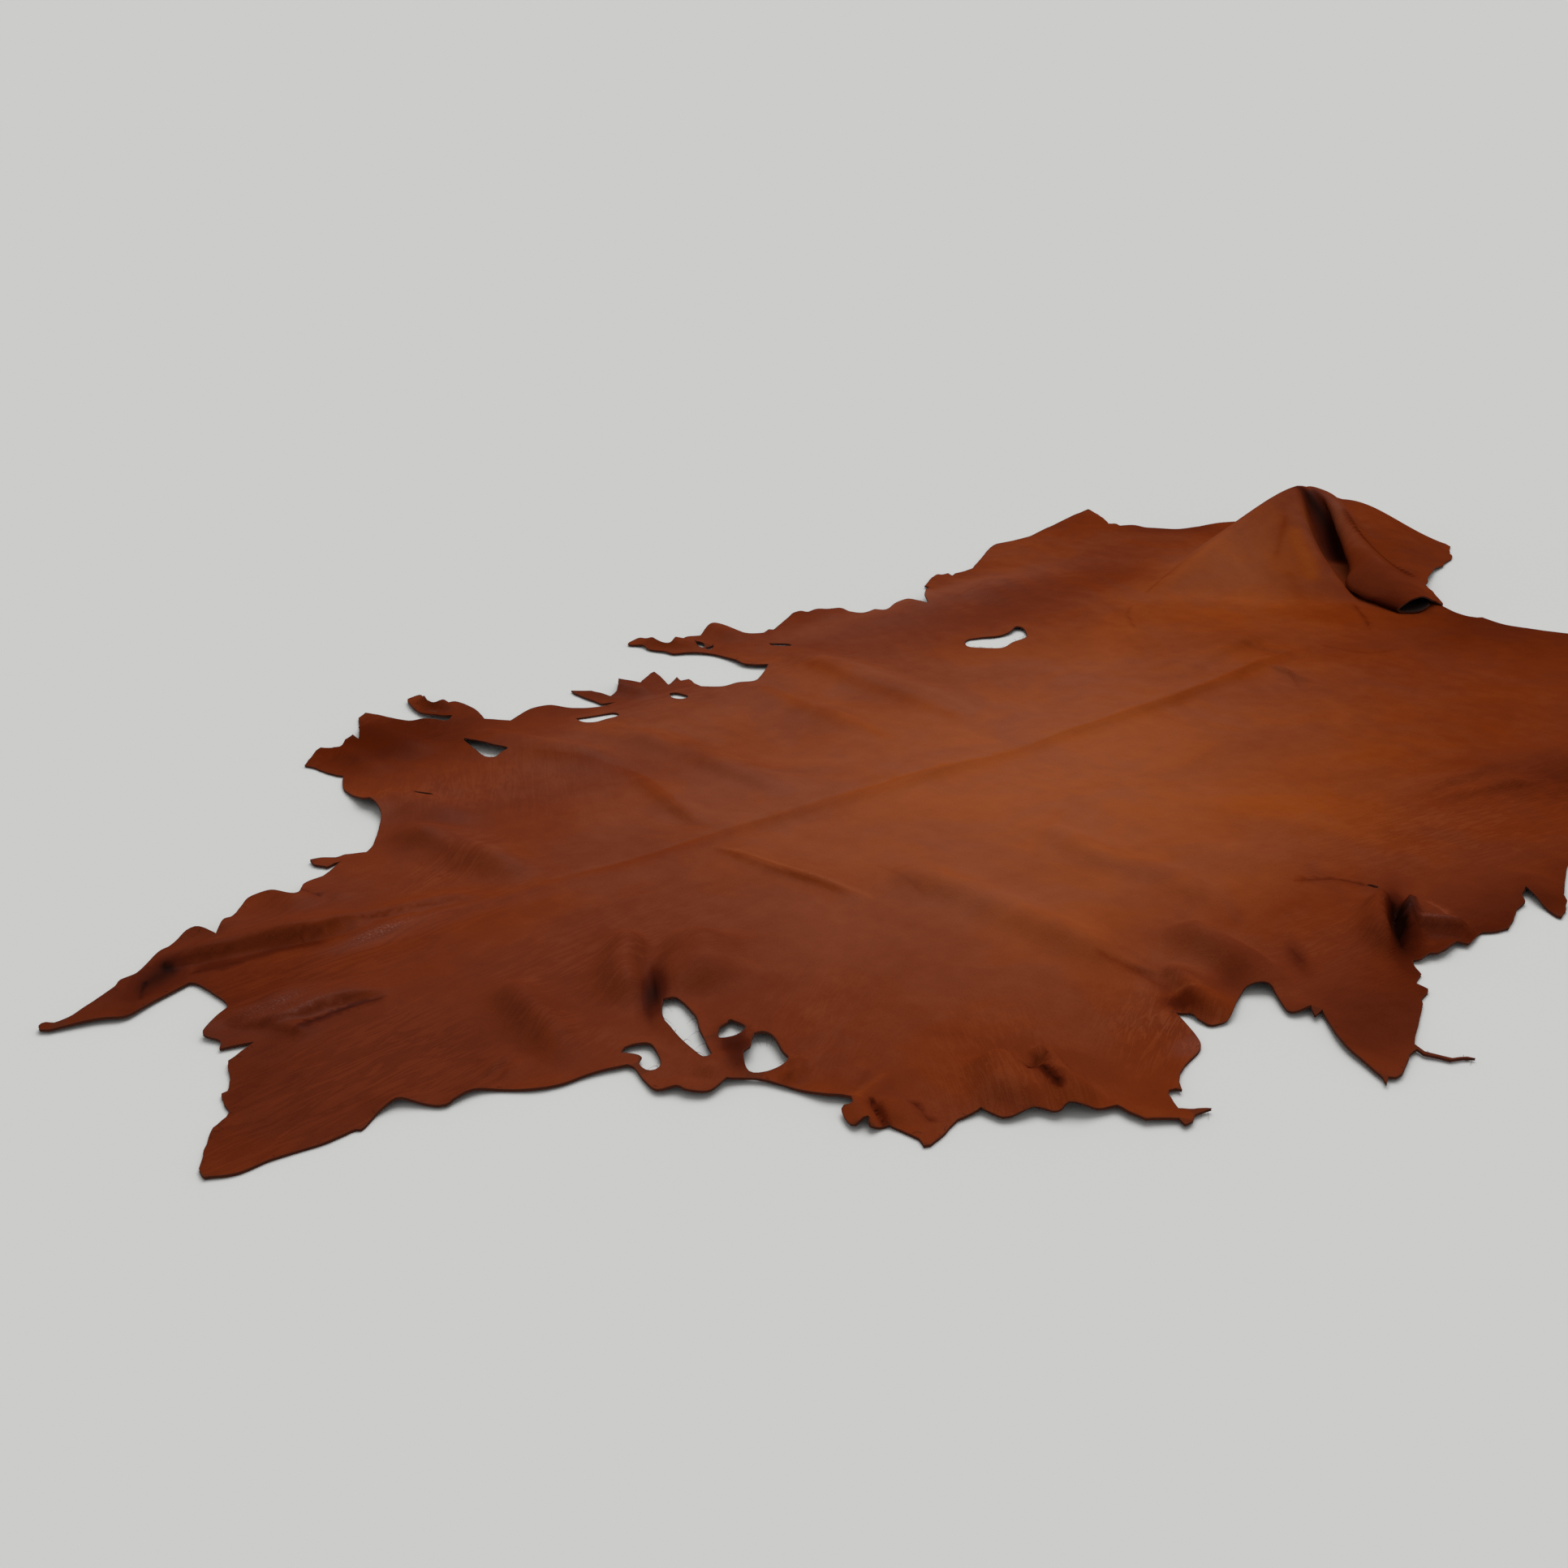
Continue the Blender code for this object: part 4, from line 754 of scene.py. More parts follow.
def outline(spacing, raggedness):
    """The closed outline of the sheet on its plan. Torn runs are rougher than cut ones."""
    rows = [("plan", *row) for row in OUTLINE]
    rows += [("fold", *row) for row in PLEATED_EDGE]
    rows += [("plan", *row) for row in NEAR_OUTLINE]
    last = np.array([rows[0][3][0]], float)
    found, rough = [], []
    for held_in, _, kind, points in rows:
        points = np.array(points, float)
        if held_in == "fold":
            points = from_fold(points)
        path = np.vstack([last, points])
        apart = np.linalg.norm(np.diff(path, axis=0), axis=1) > SAME_POINT
        path = np.vstack([path[:1], path[1:][apart]])
        if kind == "curved" and len(path) > 2:
            path = rounded(path)
        path = evenly(path, spacing) if kind == "curved" else evenly_torn(path, spacing)
        last = points[-1:]
        found.append(path[1:])
        rough.append(np.full(len(path) - 1, 1.0 if kind == "torn" else CURVED_ROUGHNESS))
    ring, rough = np.vstack(found), np.concatenate(rough)
    return roughened(ring, raggedness * rough, seed=OUTLINE_SEED)


def evenly_torn(path, spacing):
    """A path of straight stretches that keeps its corners."""
    pieces = []
    for a, b in zip(path[:-1], path[1:]):
        count = max(1, int(round(np.linalg.norm(b - a) / spacing)))
        pieces.append(a + (b - a) * np.linspace(0, 1, count, endpoint=False)[:, None])
    return np.vstack([*pieces, path[-1:]])


def hole_rims(spacing, raggedness):
    """Each hole as a closed ring of points."""
    rims = []
    for number, rim in enumerate(HOLES.values()):
        ring = evenly(rounded([*rim, rim[0]]), spacing)[:-1]
        rims.append(roughened(ring, HOLE_ROUGHNESS * raggedness, seed=HOLE_SEED + number))
    return rims


def in_parts(function, points, *others):
    """The function worked out for a part of the points at a time, to save memory."""
    starts = range(0, len(points), PART_SIZE)
    return np.concatenate([function(points[s : s + PART_SIZE], *others) for s in starts])


def inside(points, ring):
    """Whether each point lies in the ring, by counting the ring's sides to its right."""
    x, y = points[:, None, 0], points[:, None, 1]
    a, b = ring[None], np.roll(ring, -1, axis=0)[None]
    crosses = (a[..., 1] > y) != (b[..., 1] > y)
    rise = np.where(crosses, b[..., 1] - a[..., 1], 1.0)
    at = a[..., 0] + (y - a[..., 1]) * (b[..., 0] - a[..., 0]) / rise
    return (crosses & (x < at)).sum(1) % 2 == 1


def side_distance(points, start, side):
    """How far each point lies from the nearest of the straight sides."""
    x = points[:, None, 0] - start[None, :, 0]
    y = points[:, None, 1] - start[None, :, 1]
    sx, sy = side[None, :, 0], side[None, :, 1]
    t = np.clip((x * sx + y * sy) / (sx**2 + sy**2 + TINY), 0, 1)
    return np.sqrt(((x - t * sx) ** 2 + (y - t * sy) ** 2).min(1))


def edge_distance(points, rings):
    """How far each point lies from the nearest edge, in mm."""
    start = np.vstack(rings).astype(np.float32)
    side = np.vstack([np.roll(r, -1, axis=0) - r for r in rings]).astype(np.float32)
    return in_parts(side_distance, points.astype(np.float32), start, side)


def column(table, columns, name, along):
    """A column of a table, followed smoothly along the fold."""
    rows = np.array(table, float)
    x, y = rows[:, 0], rows[:, columns.index(name)]
    slope = np.gradient(y, x)
    i = np.clip(np.searchsorted(x, along) - 1, 0, len(x) - 2)
    step = x[i + 1] - x[i]
    t = np.clip((along - x[i]) / step, 0, 1)
    return hermite(t, y[i], step * slope[i], y[i + 1], step * slope[i + 1])


def section_curves(along):
    """The pleat's section at each place along it, as a smooth path of points and its length.
    The path leaves the floor, turns over at the crease, overhangs, and rolls over the crest
    down to the foot."""
    get = {name: column(PLEAT, PLEAT_COLUMNS, name, along) for name in PLEAT_COLUMNS[1:]}
    radius = CREASE_RADIUS
    lean = np.tanh((get["crease"] - get["left"]) / CREASE_LEAN)
    rise = radius * (1 + lean)
    keys = np.stack(
        [
            np.stack([get["crease"] - radius, get["crease_z"]], -1),
            np.stack([get["crease"], get["crease_z"] + rise / 2], -1),
            np.stack([get["crease"] - radius * lean, get["crease_z"] + rise], -1),
            np.stack([get["left"], get["left_z"]], -1),
            np.stack([get["crest"], get["crest_z"]], -1),
            np.stack([get["foot"], get["foot_z"]], -1),
        ],
        1,
    )
    first = keys[:, :1] + np.array([-2 * radius, 0.0])
    last = keys[:, -1:] + np.array(FOOT_LEAD)
    keys = np.concatenate([first, keys, last], 1)
    t = np.linspace(0, 1, SECTION_SAMPLES, endpoint=False)[None, :, None]
    pieces = []
    for i in range(1, keys.shape[1] - 2):
        a, b, c, d = (keys[:, k : k + 1] for k in range(i - 1, i + 3))
        gap = np.linalg.norm(c - b, axis=-1, keepdims=True)
        pulls = no_longer((c - a) / 2, gap), no_longer((d - b) / 2, gap)
        pieces.append(hermite(t, b, pulls[0], c, pulls[1]))
    path = np.concatenate([*pieces, keys[:, -2:-1]], 1)
    steps = np.linalg.norm(np.diff(path, axis=1), axis=-1)
    length = np.concatenate([np.zeros((len(along), 1)), np.cumsum(steps, 1)], 1)
    return path, length


def laid_pleat(along, past):
    """Across and height of points that lie this far past the start of the crease: their share
    of the section's length, read from the two nearest sections and blended."""
    stations = np.linspace(PLEAT[0][0], PLEAT[-1][0], FOLD_STATIONS)
    path, length = section_curves(stations)
    place = (along - stations[0]) / (stations[1] - stations[0])
    place = np.clip(place, 0, len(stations) - 1 - SECTION_MARGIN)
    low = place.astype(int)
    share = place - low
    total = length[low, -1] * (1 - share) + length[low + 1, -1] * share
    part = np.clip(past / total, 0, 1)
    across, height = np.zeros_like(along), np.zeros_like(along)
    for station in range(len(stations)):
        for side, weight in ((0, 1 - share), (1, share)):
            mine = low + side == station
            at = part[mine] * length[station, -1]
            across[mine] += weight[mine] * np.interp(at, length[station], path[station, :, 0])
            height[mine] += weight[mine] * np.interp(at, length[station], path[station, :, 1])
    beyond = np.maximum(past - total, 0)
    foot_z = column(PLEAT, PLEAT_COLUMNS, "foot_z", along)
    reach = FOOT_RUN[0] + FOOT_RUN[1] * foot_z
    height = np.where(beyond > 0, foot_z * (1 - smooth(beyond / reach)), height)
    return across + beyond, height


def tent_height(fold):
    """Height of the broad face, the hidden back and the valley before the crease: an even
    slope with a soft foot and top, less a slope behind the crest line, then led down over the
    rib to the valley and on to the crease."""
    along, across = fold[:, 0], fold[:, 1]
    foot = TENT_FOOT[0] + TENT_FOOT[2] * (across - TENT_FOOT[1])
    face = TENT_RISE * (along - foot)
    face = TENT_FOOT_SOFT * (np.logaddexp(0.0, face / TENT_FOOT_SOFT) - np.log(2.0))
    face = TENT_TOP - TENT_TOP_SOFT * np.logaddexp(0.0, (TENT_TOP - face) / TENT_TOP_SOFT)
    face = np.maximum(face, 0.0)
    crest = TENT_CREST[0] + TENT_CREST[1] * (along - TENT_FOOT[0])
    behind = (crest - across) / np.hypot(1.0, TENT_CREST[1])
    fall = TENT_BACK * TENT_CREST_SOFT * np.logaddexp(0.0, behind / TENT_CREST_SOFT)
    height = np.maximum(face - fall, 0)
    rib = column(VALLEY, VALLEY_COLUMNS, "rib", along)
    valley = column(VALLEY, VALLEY_COLUMNS, "valley", along)
    floor = column(VALLEY, VALLEY_COLUMNS, "valley_z", along)
    crease = column(PLEAT, PLEAT_COLUMNS, "crease", along) - CREASE_RADIUS
    crease_z = column(PLEAT, PLEAT_COLUMNS, "crease_z", along)
    drop = smooth((across - rib) / (valley - rib))
    height = height * (1 - drop) + np.minimum(height, floor) * drop
    run = smooth((across - valley) / np.maximum(crease - valley, 1.0))
    return np.where(across > valley, height * (1 - run) + crease_z * run, height)


def line_frame(points, line):
    """For each point: how far along the line it is, from 0 to 1, and how far off to the left."""
    line = rounded(line, LINE_SAMPLES)
    side = np.diff(line, axis=0)
    size = np.linalg.norm(side, axis=1)
    start = np.concatenate([[0], np.cumsum(size)[:-1]])
    x = points[:, None, 0] - line[None, :-1, 0]
    y = points[:, None, 1] - line[None, :-1, 1]
    t = np.clip((x * side[:, 0] + y * side[:, 1]) / size**2, 0, 1)
    dx, dy = x - t * side[:, 0], y - t * side[:, 1]
    best = (dx**2 + dy**2).argmin(1)
    row = np.arange(len(points))
    leftward = (side[best, 0] * dy[row, best] - side[best, 1] * dx[row, best]) / size[best]
    off = np.copysign(np.hypot(dx[row, best], dy[row, best]), leftward)
    return (start[best] + t[row, best] * size[best]) / size.sum(), off


def beside_line(points, row, fade):
    """Which points lie near the row's line, their distance from it over its width on that
    side, and 1 in its middle fading to 0 at its ends."""
    line = np.array(row["points"], float)
    reach = LINE_REACH * max(row["left"], row["right"])
    near = ((points > line.min(0) - reach) & (points < line.max(0) + reach)).all(1)
    along, off = line_frame(points[near], line)
    s = np.where(off > 0, off / row["left"], -off / row["right"])
    return near, s, smooth(np.minimum(along, 1 - along) / fade)


def line_marks(points, effect):
    """The sum of the effects of this name of the lines of painted light and shade: each times e to the
    minus s squared times the fall, with s the distance from its line over its width on that side."""
    total = np.zeros(len(points))
    for row in LIGHT_SHADE_AND_SCRATCH_LINES.values():
        mark = dict(zip(LINE_COLUMNS, row))
        near, s, ends = beside_line(points, mark, LINE_END)
        total[near] += mark[effect] * np.exp(-LINE_FALL * s**2) * ends
    return total


def fold_height(points):
    """The folds of the lying sheet, on lines that noise bends a little. Ridges add up as the
    cube root of their cubes. A ridge is e to the minus s squared times the fall, with s the
    distance from its line over its width on that side. A gully is s squared times e to the 1
    less s squared, so it has two shoulders, and it first cuts away what lies at its line."""
    total = np.zeros(len(points))
    wander = [cloud(points, WANDER_WIDTH, seed) for seed in WANDER_SEEDS]
    bent = points + FOLD_WANDER * np.column_stack(wander)
    swell = 1.0 + SWELL[0] * cloud(points, *SWELL[1:])
    for row in FOLDS.values():
        fold = dict(zip(FOLD_COLUMNS, row))
        near, s, ends = beside_line(bent, fold, ROUNDED_END)
        if fold["kind"] == "ridge":
            rise = fold["height"] * np.exp(-LINE_FALL * s**2) * ends * swell[near]
        else:
            rise = fold["height"] * s**2 * np.exp(1 - s**2) * ends
            total[near] *= 1 - ends * np.exp(-GULLY_CUT * s**2)
        total[near] = np.cbrt(total[near] ** 3 + rise**3)
    return total


def lift_height(points, edge):
    """Where edges curl up: a height that fades inward from the edge and along it."""
    total = np.zeros(len(points))
    for row in LIFTS.values():
        lift = dict(zip(LIFT_COLUMNS, row))
        away = np.hypot(points[:, 0] - lift["x"], points[:, 1] - lift["y"])
        inward = 1 - smooth(edge / lift["reach"])
        total += lift["height"] * inward * np.exp(-((away / lift["radius"]) ** 2))
    return total


def undulation(points, edge):
    """How the lying leather never quite lies flat: noise of four widths, more near the edge."""
    waves = {
        name: height * cloud(points, width, seed)
        for name, (height, width, seed) in UNDULATION.items()
    }
    slack = SLACK[0] + SLACK[1] * np.exp(-edge / SLACK[2])
    broad = MEAN_RISE + waves["broad"] + waves["middle"]
    rim = np.exp(-edge / RIM_REACH) * (RIM_MEAN + waves["rim"])
    return np.maximum(broad, 0) * slack + waves["fine"] + np.maximum(rim, 0)


def drape(points, edge, relief):
    """Where each point of the flat plan ends up: the middle of the leather, in mm. Past the
    crease of the pleat, the plan's own distance is used up along the pleat's section."""
    fold = to_fold(points)
    along, across = fold[:, 0], fold[:, 1]
    crease = column(PLEAT, PLEAT_COLUMNS, "crease", along) - CREASE_RADIUS
    tent = tent_height(fold)
    lying = np.exp(-tent / TENT_TAUT)
    height = np.maximum(tent, fold_height(points))
    past = across - crease
    folded = (past > 0) & (along > PLEAT[0][0])
    laid = fold.copy()
    if folded.any():
        laid[folded, 1], height[folded] = laid_pleat(along[folded], past[folded])
    settled = np.where(folded, 0.0, lying)
    height = height + settled * relief * (undulation(points, edge) + lift_height(points, edge))
    return np.column_stack([from_fold(laid), height])


def lattice(low, high, spacing):
    """A three-cornered lattice over the whole plan. Its rows lie as far apart as a triangle
    with equal sides is high."""
    rows = np.arange(low[1], high[1], spacing * np.sqrt(0.75))
    columns = np.arange(low[0], high[0], spacing)
    x, y = np.meshgrid(columns, rows)
    x = x + spacing / 2 * (np.arange(len(rows)) % 2)[:, None]
    return np.column_stack([x.ravel(), y.ravel()])


def pleat_points():
    """Rows of points along the pleat, closest together where its crease bends."""
    along = np.arange(*FOLD_ALONG, FOLD_STEP)
    crease = column(PLEAT, PLEAT_COLUMNS, "crease", along) - CREASE_RADIUS
    before = -np.geomspace(FIRST_BEFORE, -FOLD_BAND[0], ROWS_BEFORE)
    bend = np.arange(0, BEND_WIDTH, BEND_STEP)
    after = np.arange(BEND_WIDTH, FOLD_BAND[1], FOLD_STEP)
    offsets = np.concatenate([before[::-1], bend, after])
    a, c = np.meshgrid(along, offsets, indexing="ij")
    return from_fold(np.column_stack([a.ravel(), (crease[:, None] + c).ravel()]))


def in_pleat(points, margin):
    """Whether each point lies in the band that the pleat's own points fill."""
    fold = to_fold(points)
    crease = column(PLEAT, PLEAT_COLUMNS, "crease", fold[:, 0]) - CREASE_RADIUS
    past = fold[:, 1] - crease
    along = (fold[:, 0] > FOLD_ALONG[0] - margin) & (fold[:, 0] < FOLD_ALONG[1] + margin)
    return along & (past > FOLD_BAND[0] - margin) & (past < FOLD_BAND[1] + margin)


def sheet_points(rings, spacing, clearance):
    """Points inside the sheet: an even lattice, with the pleat's own rows in its band."""
    ring = rings[0]
    grid = lattice(ring.min(0), ring.max(0), spacing)
    rows = fold_rows(ROW_STEP * spacing)
    points = np.vstack([rows, grid])
    points = points[~in_pleat(points, PLEAT_MARGIN * spacing)]
    points = thinned(points, LEAST_APART * spacing)
    points = np.vstack([points, pleat_points()])
    points = points[in_parts(inside, points, ring)]
    for rim in rings[1:]:
        points = points[~inside(points, rim)]
    return points[edge_distance(points, rings) > clearance]


def triangulate(rings, inner):
    """Points and upward triangles of the flat sheet. The rings' points come first."""
    points = np.vstack([*rings, inner])
    sides, first = [], 0
    for ring in rings:
        n = len(ring)
        sides += [(first + i, first + (i + 1) % n) for i in range(n)]
        first += n
    found, _, faces, _, _, _ = delaunay_2d_cdt(points.tolist(), sides, [], 0, MERGE_DISTANCE)
    flat = np.array([tuple(p) for p in found], float)
    triangles = np.array(faces, int)
    middle = flat[triangles].mean(1)
    keep = in_parts(inside, middle, rings[0])
    for rim in rings[1:]:
        keep &= ~in_parts(inside, middle, rim)
    triangles = triangles[keep]
    corners = flat[triangles]
    first, second = corners[:, 1] - corners[:, 0], corners[:, 2] - corners[:, 0]
    turned = first[:, 0] * second[:, 1] - first[:, 1] * second[:, 0] < 0
    triangles[turned] = triangles[turned][:, ::-1]
    return flat, triangles


def vertex_normals(points, triangles):
    """The mean direction of the triangles round each point, by their areas."""
    a, b, c = (points[triangles[:, k]] for k in range(3))
    face = np.cross(b - a, c - a)
    total = np.zeros_like(points)
    for k in range(3):
        for axis in range(3):
            total[:, axis] += np.bincount(triangles[:, k], face[:, axis], len(points))
    return total / (np.linalg.norm(total, axis=1, keepdims=True) + TINY)


def fold_rows(spacing):
    """Rows of points along the narrow folds and lines of painted light and shade, on the line and
    beside it, so that the faces follow them."""
    found = []
    folds = [dict(zip(FOLD_COLUMNS, row)) for row in FOLDS.values()]
    folds += [dict(zip(LINE_COLUMNS, row)) for row in LIGHT_SHADE_AND_SCRATCH_LINES.values()]
    for fold in folds:
        narrow = min(fold["left"], fold["right"])
        if narrow > NARROW:
            continue
        line = evenly(rounded(fold["points"], LINE_SAMPLES), spacing)
        forward = np.gradient(line, axis=0)
        forward /= np.linalg.norm(forward, axis=1, keepdims=True)
        leftward = np.column_stack([-forward[:, 1], forward[:, 0]])
        for place in ROW_PLACES:
            found.append(line + leftward * place * ROW_REACH * narrow)
    return np.vstack(found)


def thinned(points, apart):
    """The points with those left out that share a square cell of this width with an earlier
    one."""
    cells = np.round(points / apart).astype(int)
    _, first = np.unique(cells, axis=0, return_index=True)
    return points[np.sort(first)]


def patch_weight(points, patch):
    """1 in the middle of a patch, fading as e to the minus squared distance over its radii."""
    turn = math.radians(patch["turn"])
    x, y = points[:, 0] - patch["x"], points[:, 1] - patch["y"]
    along = (x * math.cos(turn) + y * math.sin(turn)) / patch["along"]
    across = (y * math.cos(turn) - x * math.sin(turn)) / patch["across"]
    return np.exp(-(along**2) - across**2)


def patched(points, table):
    """The sum of a table's patches at each point, each times its strength."""
    rows = [dict(zip(PATCH_COLUMNS, row)) for row in table.values()]
    return sum(row["strength"] * patch_weight(points, row) for row in rows)


def wrinkle_field(points):
    """Where fine wrinkles run. Each point takes the strongest patch's own frame, as lengths
    along and across its wrinkles over their pitch, and how much that patch outweighs the
    next, so that the pattern fades out where two patches meet."""
    rows = [dict(zip(WRINKLE_COLUMNS, row)) for row in WRINKLES.values()]
    weights = np.array([row["strength"] * patch_weight(points, row) for row in rows])
    order = weights.argsort(0)
    best, second = order[-1], order[-2]
    column_of = np.arange(len(points))
    turn = np.radians([row["turn"] for row in rows])[best]
    pitch = np.array([row["pitch"] for row in rows])[best]
    along = (points[:, 0] * np.cos(turn) + points[:, 1] * np.sin(turn)) / pitch
    across = (points[:, 1] * np.cos(turn) - points[:, 0] * np.sin(turn)) / pitch
    amount = weights[best, column_of] - weights[second, column_of]
    return np.column_stack([along, across, amount])


def close_sheet(rings, upper_flat, upper_faces, lower_flat, lower_faces, thick, relief):
    """The leather as one closed shell: the draped middle, moved half the thickness up for the
    upper face and down for the lower one, but not below the floor. The two faces share the
    rings, and three rows of points round the cut edge between them."""
    count = sum(len(ring) for ring in rings)
    middle = drape(upper_flat, edge_distance(upper_flat, rings), relief)
    below = drape(lower_flat, edge_distance(lower_flat, rings), relief)
    middle[:, 2] += thick / 2
    below[:, 2] += thick / 2
    up = vertex_normals(middle, upper_faces)
    down = vertex_normals(below, lower_faces)
    down[:count] = up[:count]
    upper = middle + up * thick / 2
    lower = below - down * thick / 2
    lower[:, 2] = np.maximum(lower[:, 2], 0.0)
    upper[:, 2] = np.maximum(upper[:, 2], LEAST_TOP * thick)
    start = np.concatenate([[0], np.cumsum([len(ring) for ring in rings])])
    here = np.arange(count)
    after = here + 1
    after[start[1:] - 1] = start[:-1]
    before = np.empty(count, int)
    before[after] = here
    forward = middle[after] - middle[before]
    out = np.cross(up[:count], forward)
    out /= np.linalg.norm(out, axis=1, keepdims=True) + TINY
    bulge = np.random.default_rng(WAIST_SEED).uniform(*WAIST_BULGE, count)[:, None]
    waist = (upper[:count] + lower[:count]) / 2 - out * bulge * thick
    waist[:, 2] = np.clip(waist[:, 2], WAIST_LOW * thick, None)
    n = len(upper)
    rim = [
        np.column_stack([here, here + n, after + n]),
        np.column_stack([here, after + n, after]),
        np.column_stack([here + n, here + n + count, after + n + count]),
        np.column_stack([here + n, after + n + count, after + n]),
    ]
    # The order of points: the upper face, the waist of the edge, and the lower face
    points = np.vstack([upper, waist, lower])
    faces = np.vstack([upper_faces, lower_faces[:, ::-1] + n + count, *rim])
    kinds = np.repeat([0, 1, 2], [len(upper_faces), len(lower_faces), 4 * count])
    flat = np.vstack([upper_flat, upper_flat[:count], lower_flat])
    return points, faces, kinds, flat, out


def new_piece(name, points, faces, materials, kinds=None):
    """A mesh object at the origin, from points in millimetres on the plan."""
    placed = points.copy()
    placed[:, :2] -= CENTRE
    mesh = bpy.data.meshes.new(name)
    mesh.from_pydata((placed * MM).tolist(), [], faces.tolist())
    for material in materials:
        mesh.materials.append(material)
    if kinds is not None:
        mesh.polygons.foreach_set("material_index", kinds.astype(np.int32))
    mesh.shade_smooth()
    piece = bpy.data.objects.new(name, mesh)
    bpy.context.scene.collection.objects.link(piece)
    return piece


def set_attribute(mesh, name, values):
    """A number or a vector for each point, which the materials read by this name."""
    kind = "FLOAT" if values.ndim == 1 else "FLOAT_VECTOR"
    made = mesh.attributes.new(name, kind, "POINT")
    made.data.foreach_set("value" if values.ndim == 1 else "vector", values.astype(np.float32).ravel())


def mark_sharp(mesh, corner):
    """Sharp edges between points that both lie on the same corner line of the cut edge."""
    ends = np.empty(2 * len(mesh.edges), np.int32)
    mesh.edges.foreach_get("vertices", ends)
    line = corner[ends.reshape(-1, 2)]
    sharp = (line[:, 0] > 0) & (line[:, 0] == line[:, 1])
    made = mesh.attributes.new("sharp_edge", "BOOLEAN", "EDGE")
    made.data.foreach_set("value", sharp)


def strand_paths(roots, out, rng, settings):
    """Loose fibres, as paths of points. A fibre leaves its root outwards, bends to one side
    with the square of the distance, and sinks to the floor: t out, plus a bend times t squared
    sideways, and the root's height times 1 less t squared."""
    count = len(roots)
    t = np.linspace(0, 1, STRAND_POINTS)[None, :, None]
    length = rng.uniform(*STRAND_SPREAD, (count, 1, 1)) * settings.fibre_length
    turn = rng.normal(0, STRAND_TURN, count)
    out = out[:, :2] / (np.linalg.norm(out[:, :2], axis=1, keepdims=True) + TINY)
    side = np.column_stack([-out[:, 1], out[:, 0]])
    lead = out * np.cos(turn)[:, None] + side * np.sin(turn)[:, None]
    cross = np.column_stack([-lead[:, 1], lead[:, 0]])
    bend = rng.normal(0, STRAND_BEND, (count, 1, 1))
    plan = roots[:, None, :2] + length * (t * lead[:, None] + bend * t**2 * cross[:, None])
    rise = rng.uniform(0, STRAND_RISE, (count, 1))
    height = roots[:, None, 2] * (1 - t[..., 0] ** 2) + 4 * rise * (t * (1 - t))[..., 0]
    return np.concatenate([plan, np.maximum(height, STRAND_LOW)[..., None]], -1)


def strand_mesh(paths, radius):
    """A three-sided tapering tube round each path, closed at both ends."""
    count, steps = paths.shape[:2]
    forward = np.gradient(paths, axis=1)
    side = np.stack([-forward[..., 1], forward[..., 0], 0 * forward[..., 2]], -1)
    side /= np.linalg.norm(side, axis=-1, keepdims=True) + TINY
    taper = radius * (1 - STRAND_TAPER * np.linspace(0, 1, steps))[None, :, None, None]
    angle = np.radians(STRAND_CORNERS)[None, None, :, None]
    up = np.array([0.0, 0.0, 1.0])
    ring = paths[:, :, None] + taper * (np.cos(angle) * side[:, :, None] + np.sin(angle) * up)
    first = np.arange(count)[:, None, None] * steps * 3
    step = np.arange(steps - 1)[None, :, None] * 3
    k = np.arange(3)[None, None, :]
    a, b = first + step + k, first + step + (k + 1) % 3
    sides = [np.stack([a, b, b + 3], -1), np.stack([a, b + 3, a + 3], -1)]
    start = first[:, 0, 0]
    end = start + 3 * (steps - 1)
    caps = [np.stack([start, start + 2, start + 1], -1), np.stack([end, end + 1, end + 2], -1)]
    faces = np.vstack([part.reshape(-1, 3) for part in (*sides, *caps)])
    return ring.reshape(-1, 3), faces


def new_group(name, inputs, outputs):
    """An empty shader node group with these named sockets, its inputs and its outputs."""
    tree = bpy.data.node_groups.new(name, "ShaderNodeTree")
    for label, kind, value in inputs:
        made = tree.interface.new_socket(label, in_out="INPUT", socket_type=f"NodeSocket{kind}")
        if value is not None:
            made.default_value = value
    for label, kind in outputs:
        tree.interface.new_socket(label, in_out="OUTPUT", socket_type=f"NodeSocket{kind}")
    return tree, tree.nodes.new("NodeGroupInput").outputs, tree.nodes.new("NodeGroupOutput").inputs


def add(tree, kind, inputs=None, **settings):
    """A shader node with its settings, and each input set to a value or linked to a socket."""
    made = tree.nodes.new(f"ShaderNode{kind}")
    for key, value in settings.items():
        setattr(made, key, value)
    for key, value in (inputs or {}).items():
        if isinstance(value, bpy.types.NodeSocket):
            tree.links.new(value, made.inputs[key])
        else:
            made.inputs[key].default_value = value
    return made


def calc(tree, operation, first, second=0.0, third=0.0):
    """The output of a Math node."""
    values = {0: first, 1: second, 2: third}
    return add(tree, "Math", values, operation=operation).outputs[0]


def remap(tree, value, low, high, to_low=0.0, to_high=1.0, smooth_ends=True):
    """The value moved from one range to another, and kept in it."""
    inputs = {"Value": value, "From Min": low, "From Max": high}
    inputs.update({"To Min": to_low, "To Max": to_high})
    kind = "SMOOTHSTEP" if smooth_ends else "LINEAR"
    return add(tree, "MapRange", inputs, interpolation_type=kind).outputs["Result"]


def stretched(tree, vector, x, y):
    """The vector with its X and its Y multiplied."""
    made = add(tree, "VectorMath", {0: vector, 1: (x, y, 1.0)}, operation="MULTIPLY")
    return made.outputs["Vector"]


def noise(tree, vector, name, scale=None):
    """The value of a Noise Texture, by a row of the table. A scale stands in for the row's."""
    inputs = {"Vector": vector, **dict(zip(NOISE_COLUMNS, NOISES[name]))}
    if scale is not None:
        inputs["Scale"] = scale
    return add(tree, "TexNoise", inputs, noise_dimensions="2D").outputs["Fac"]


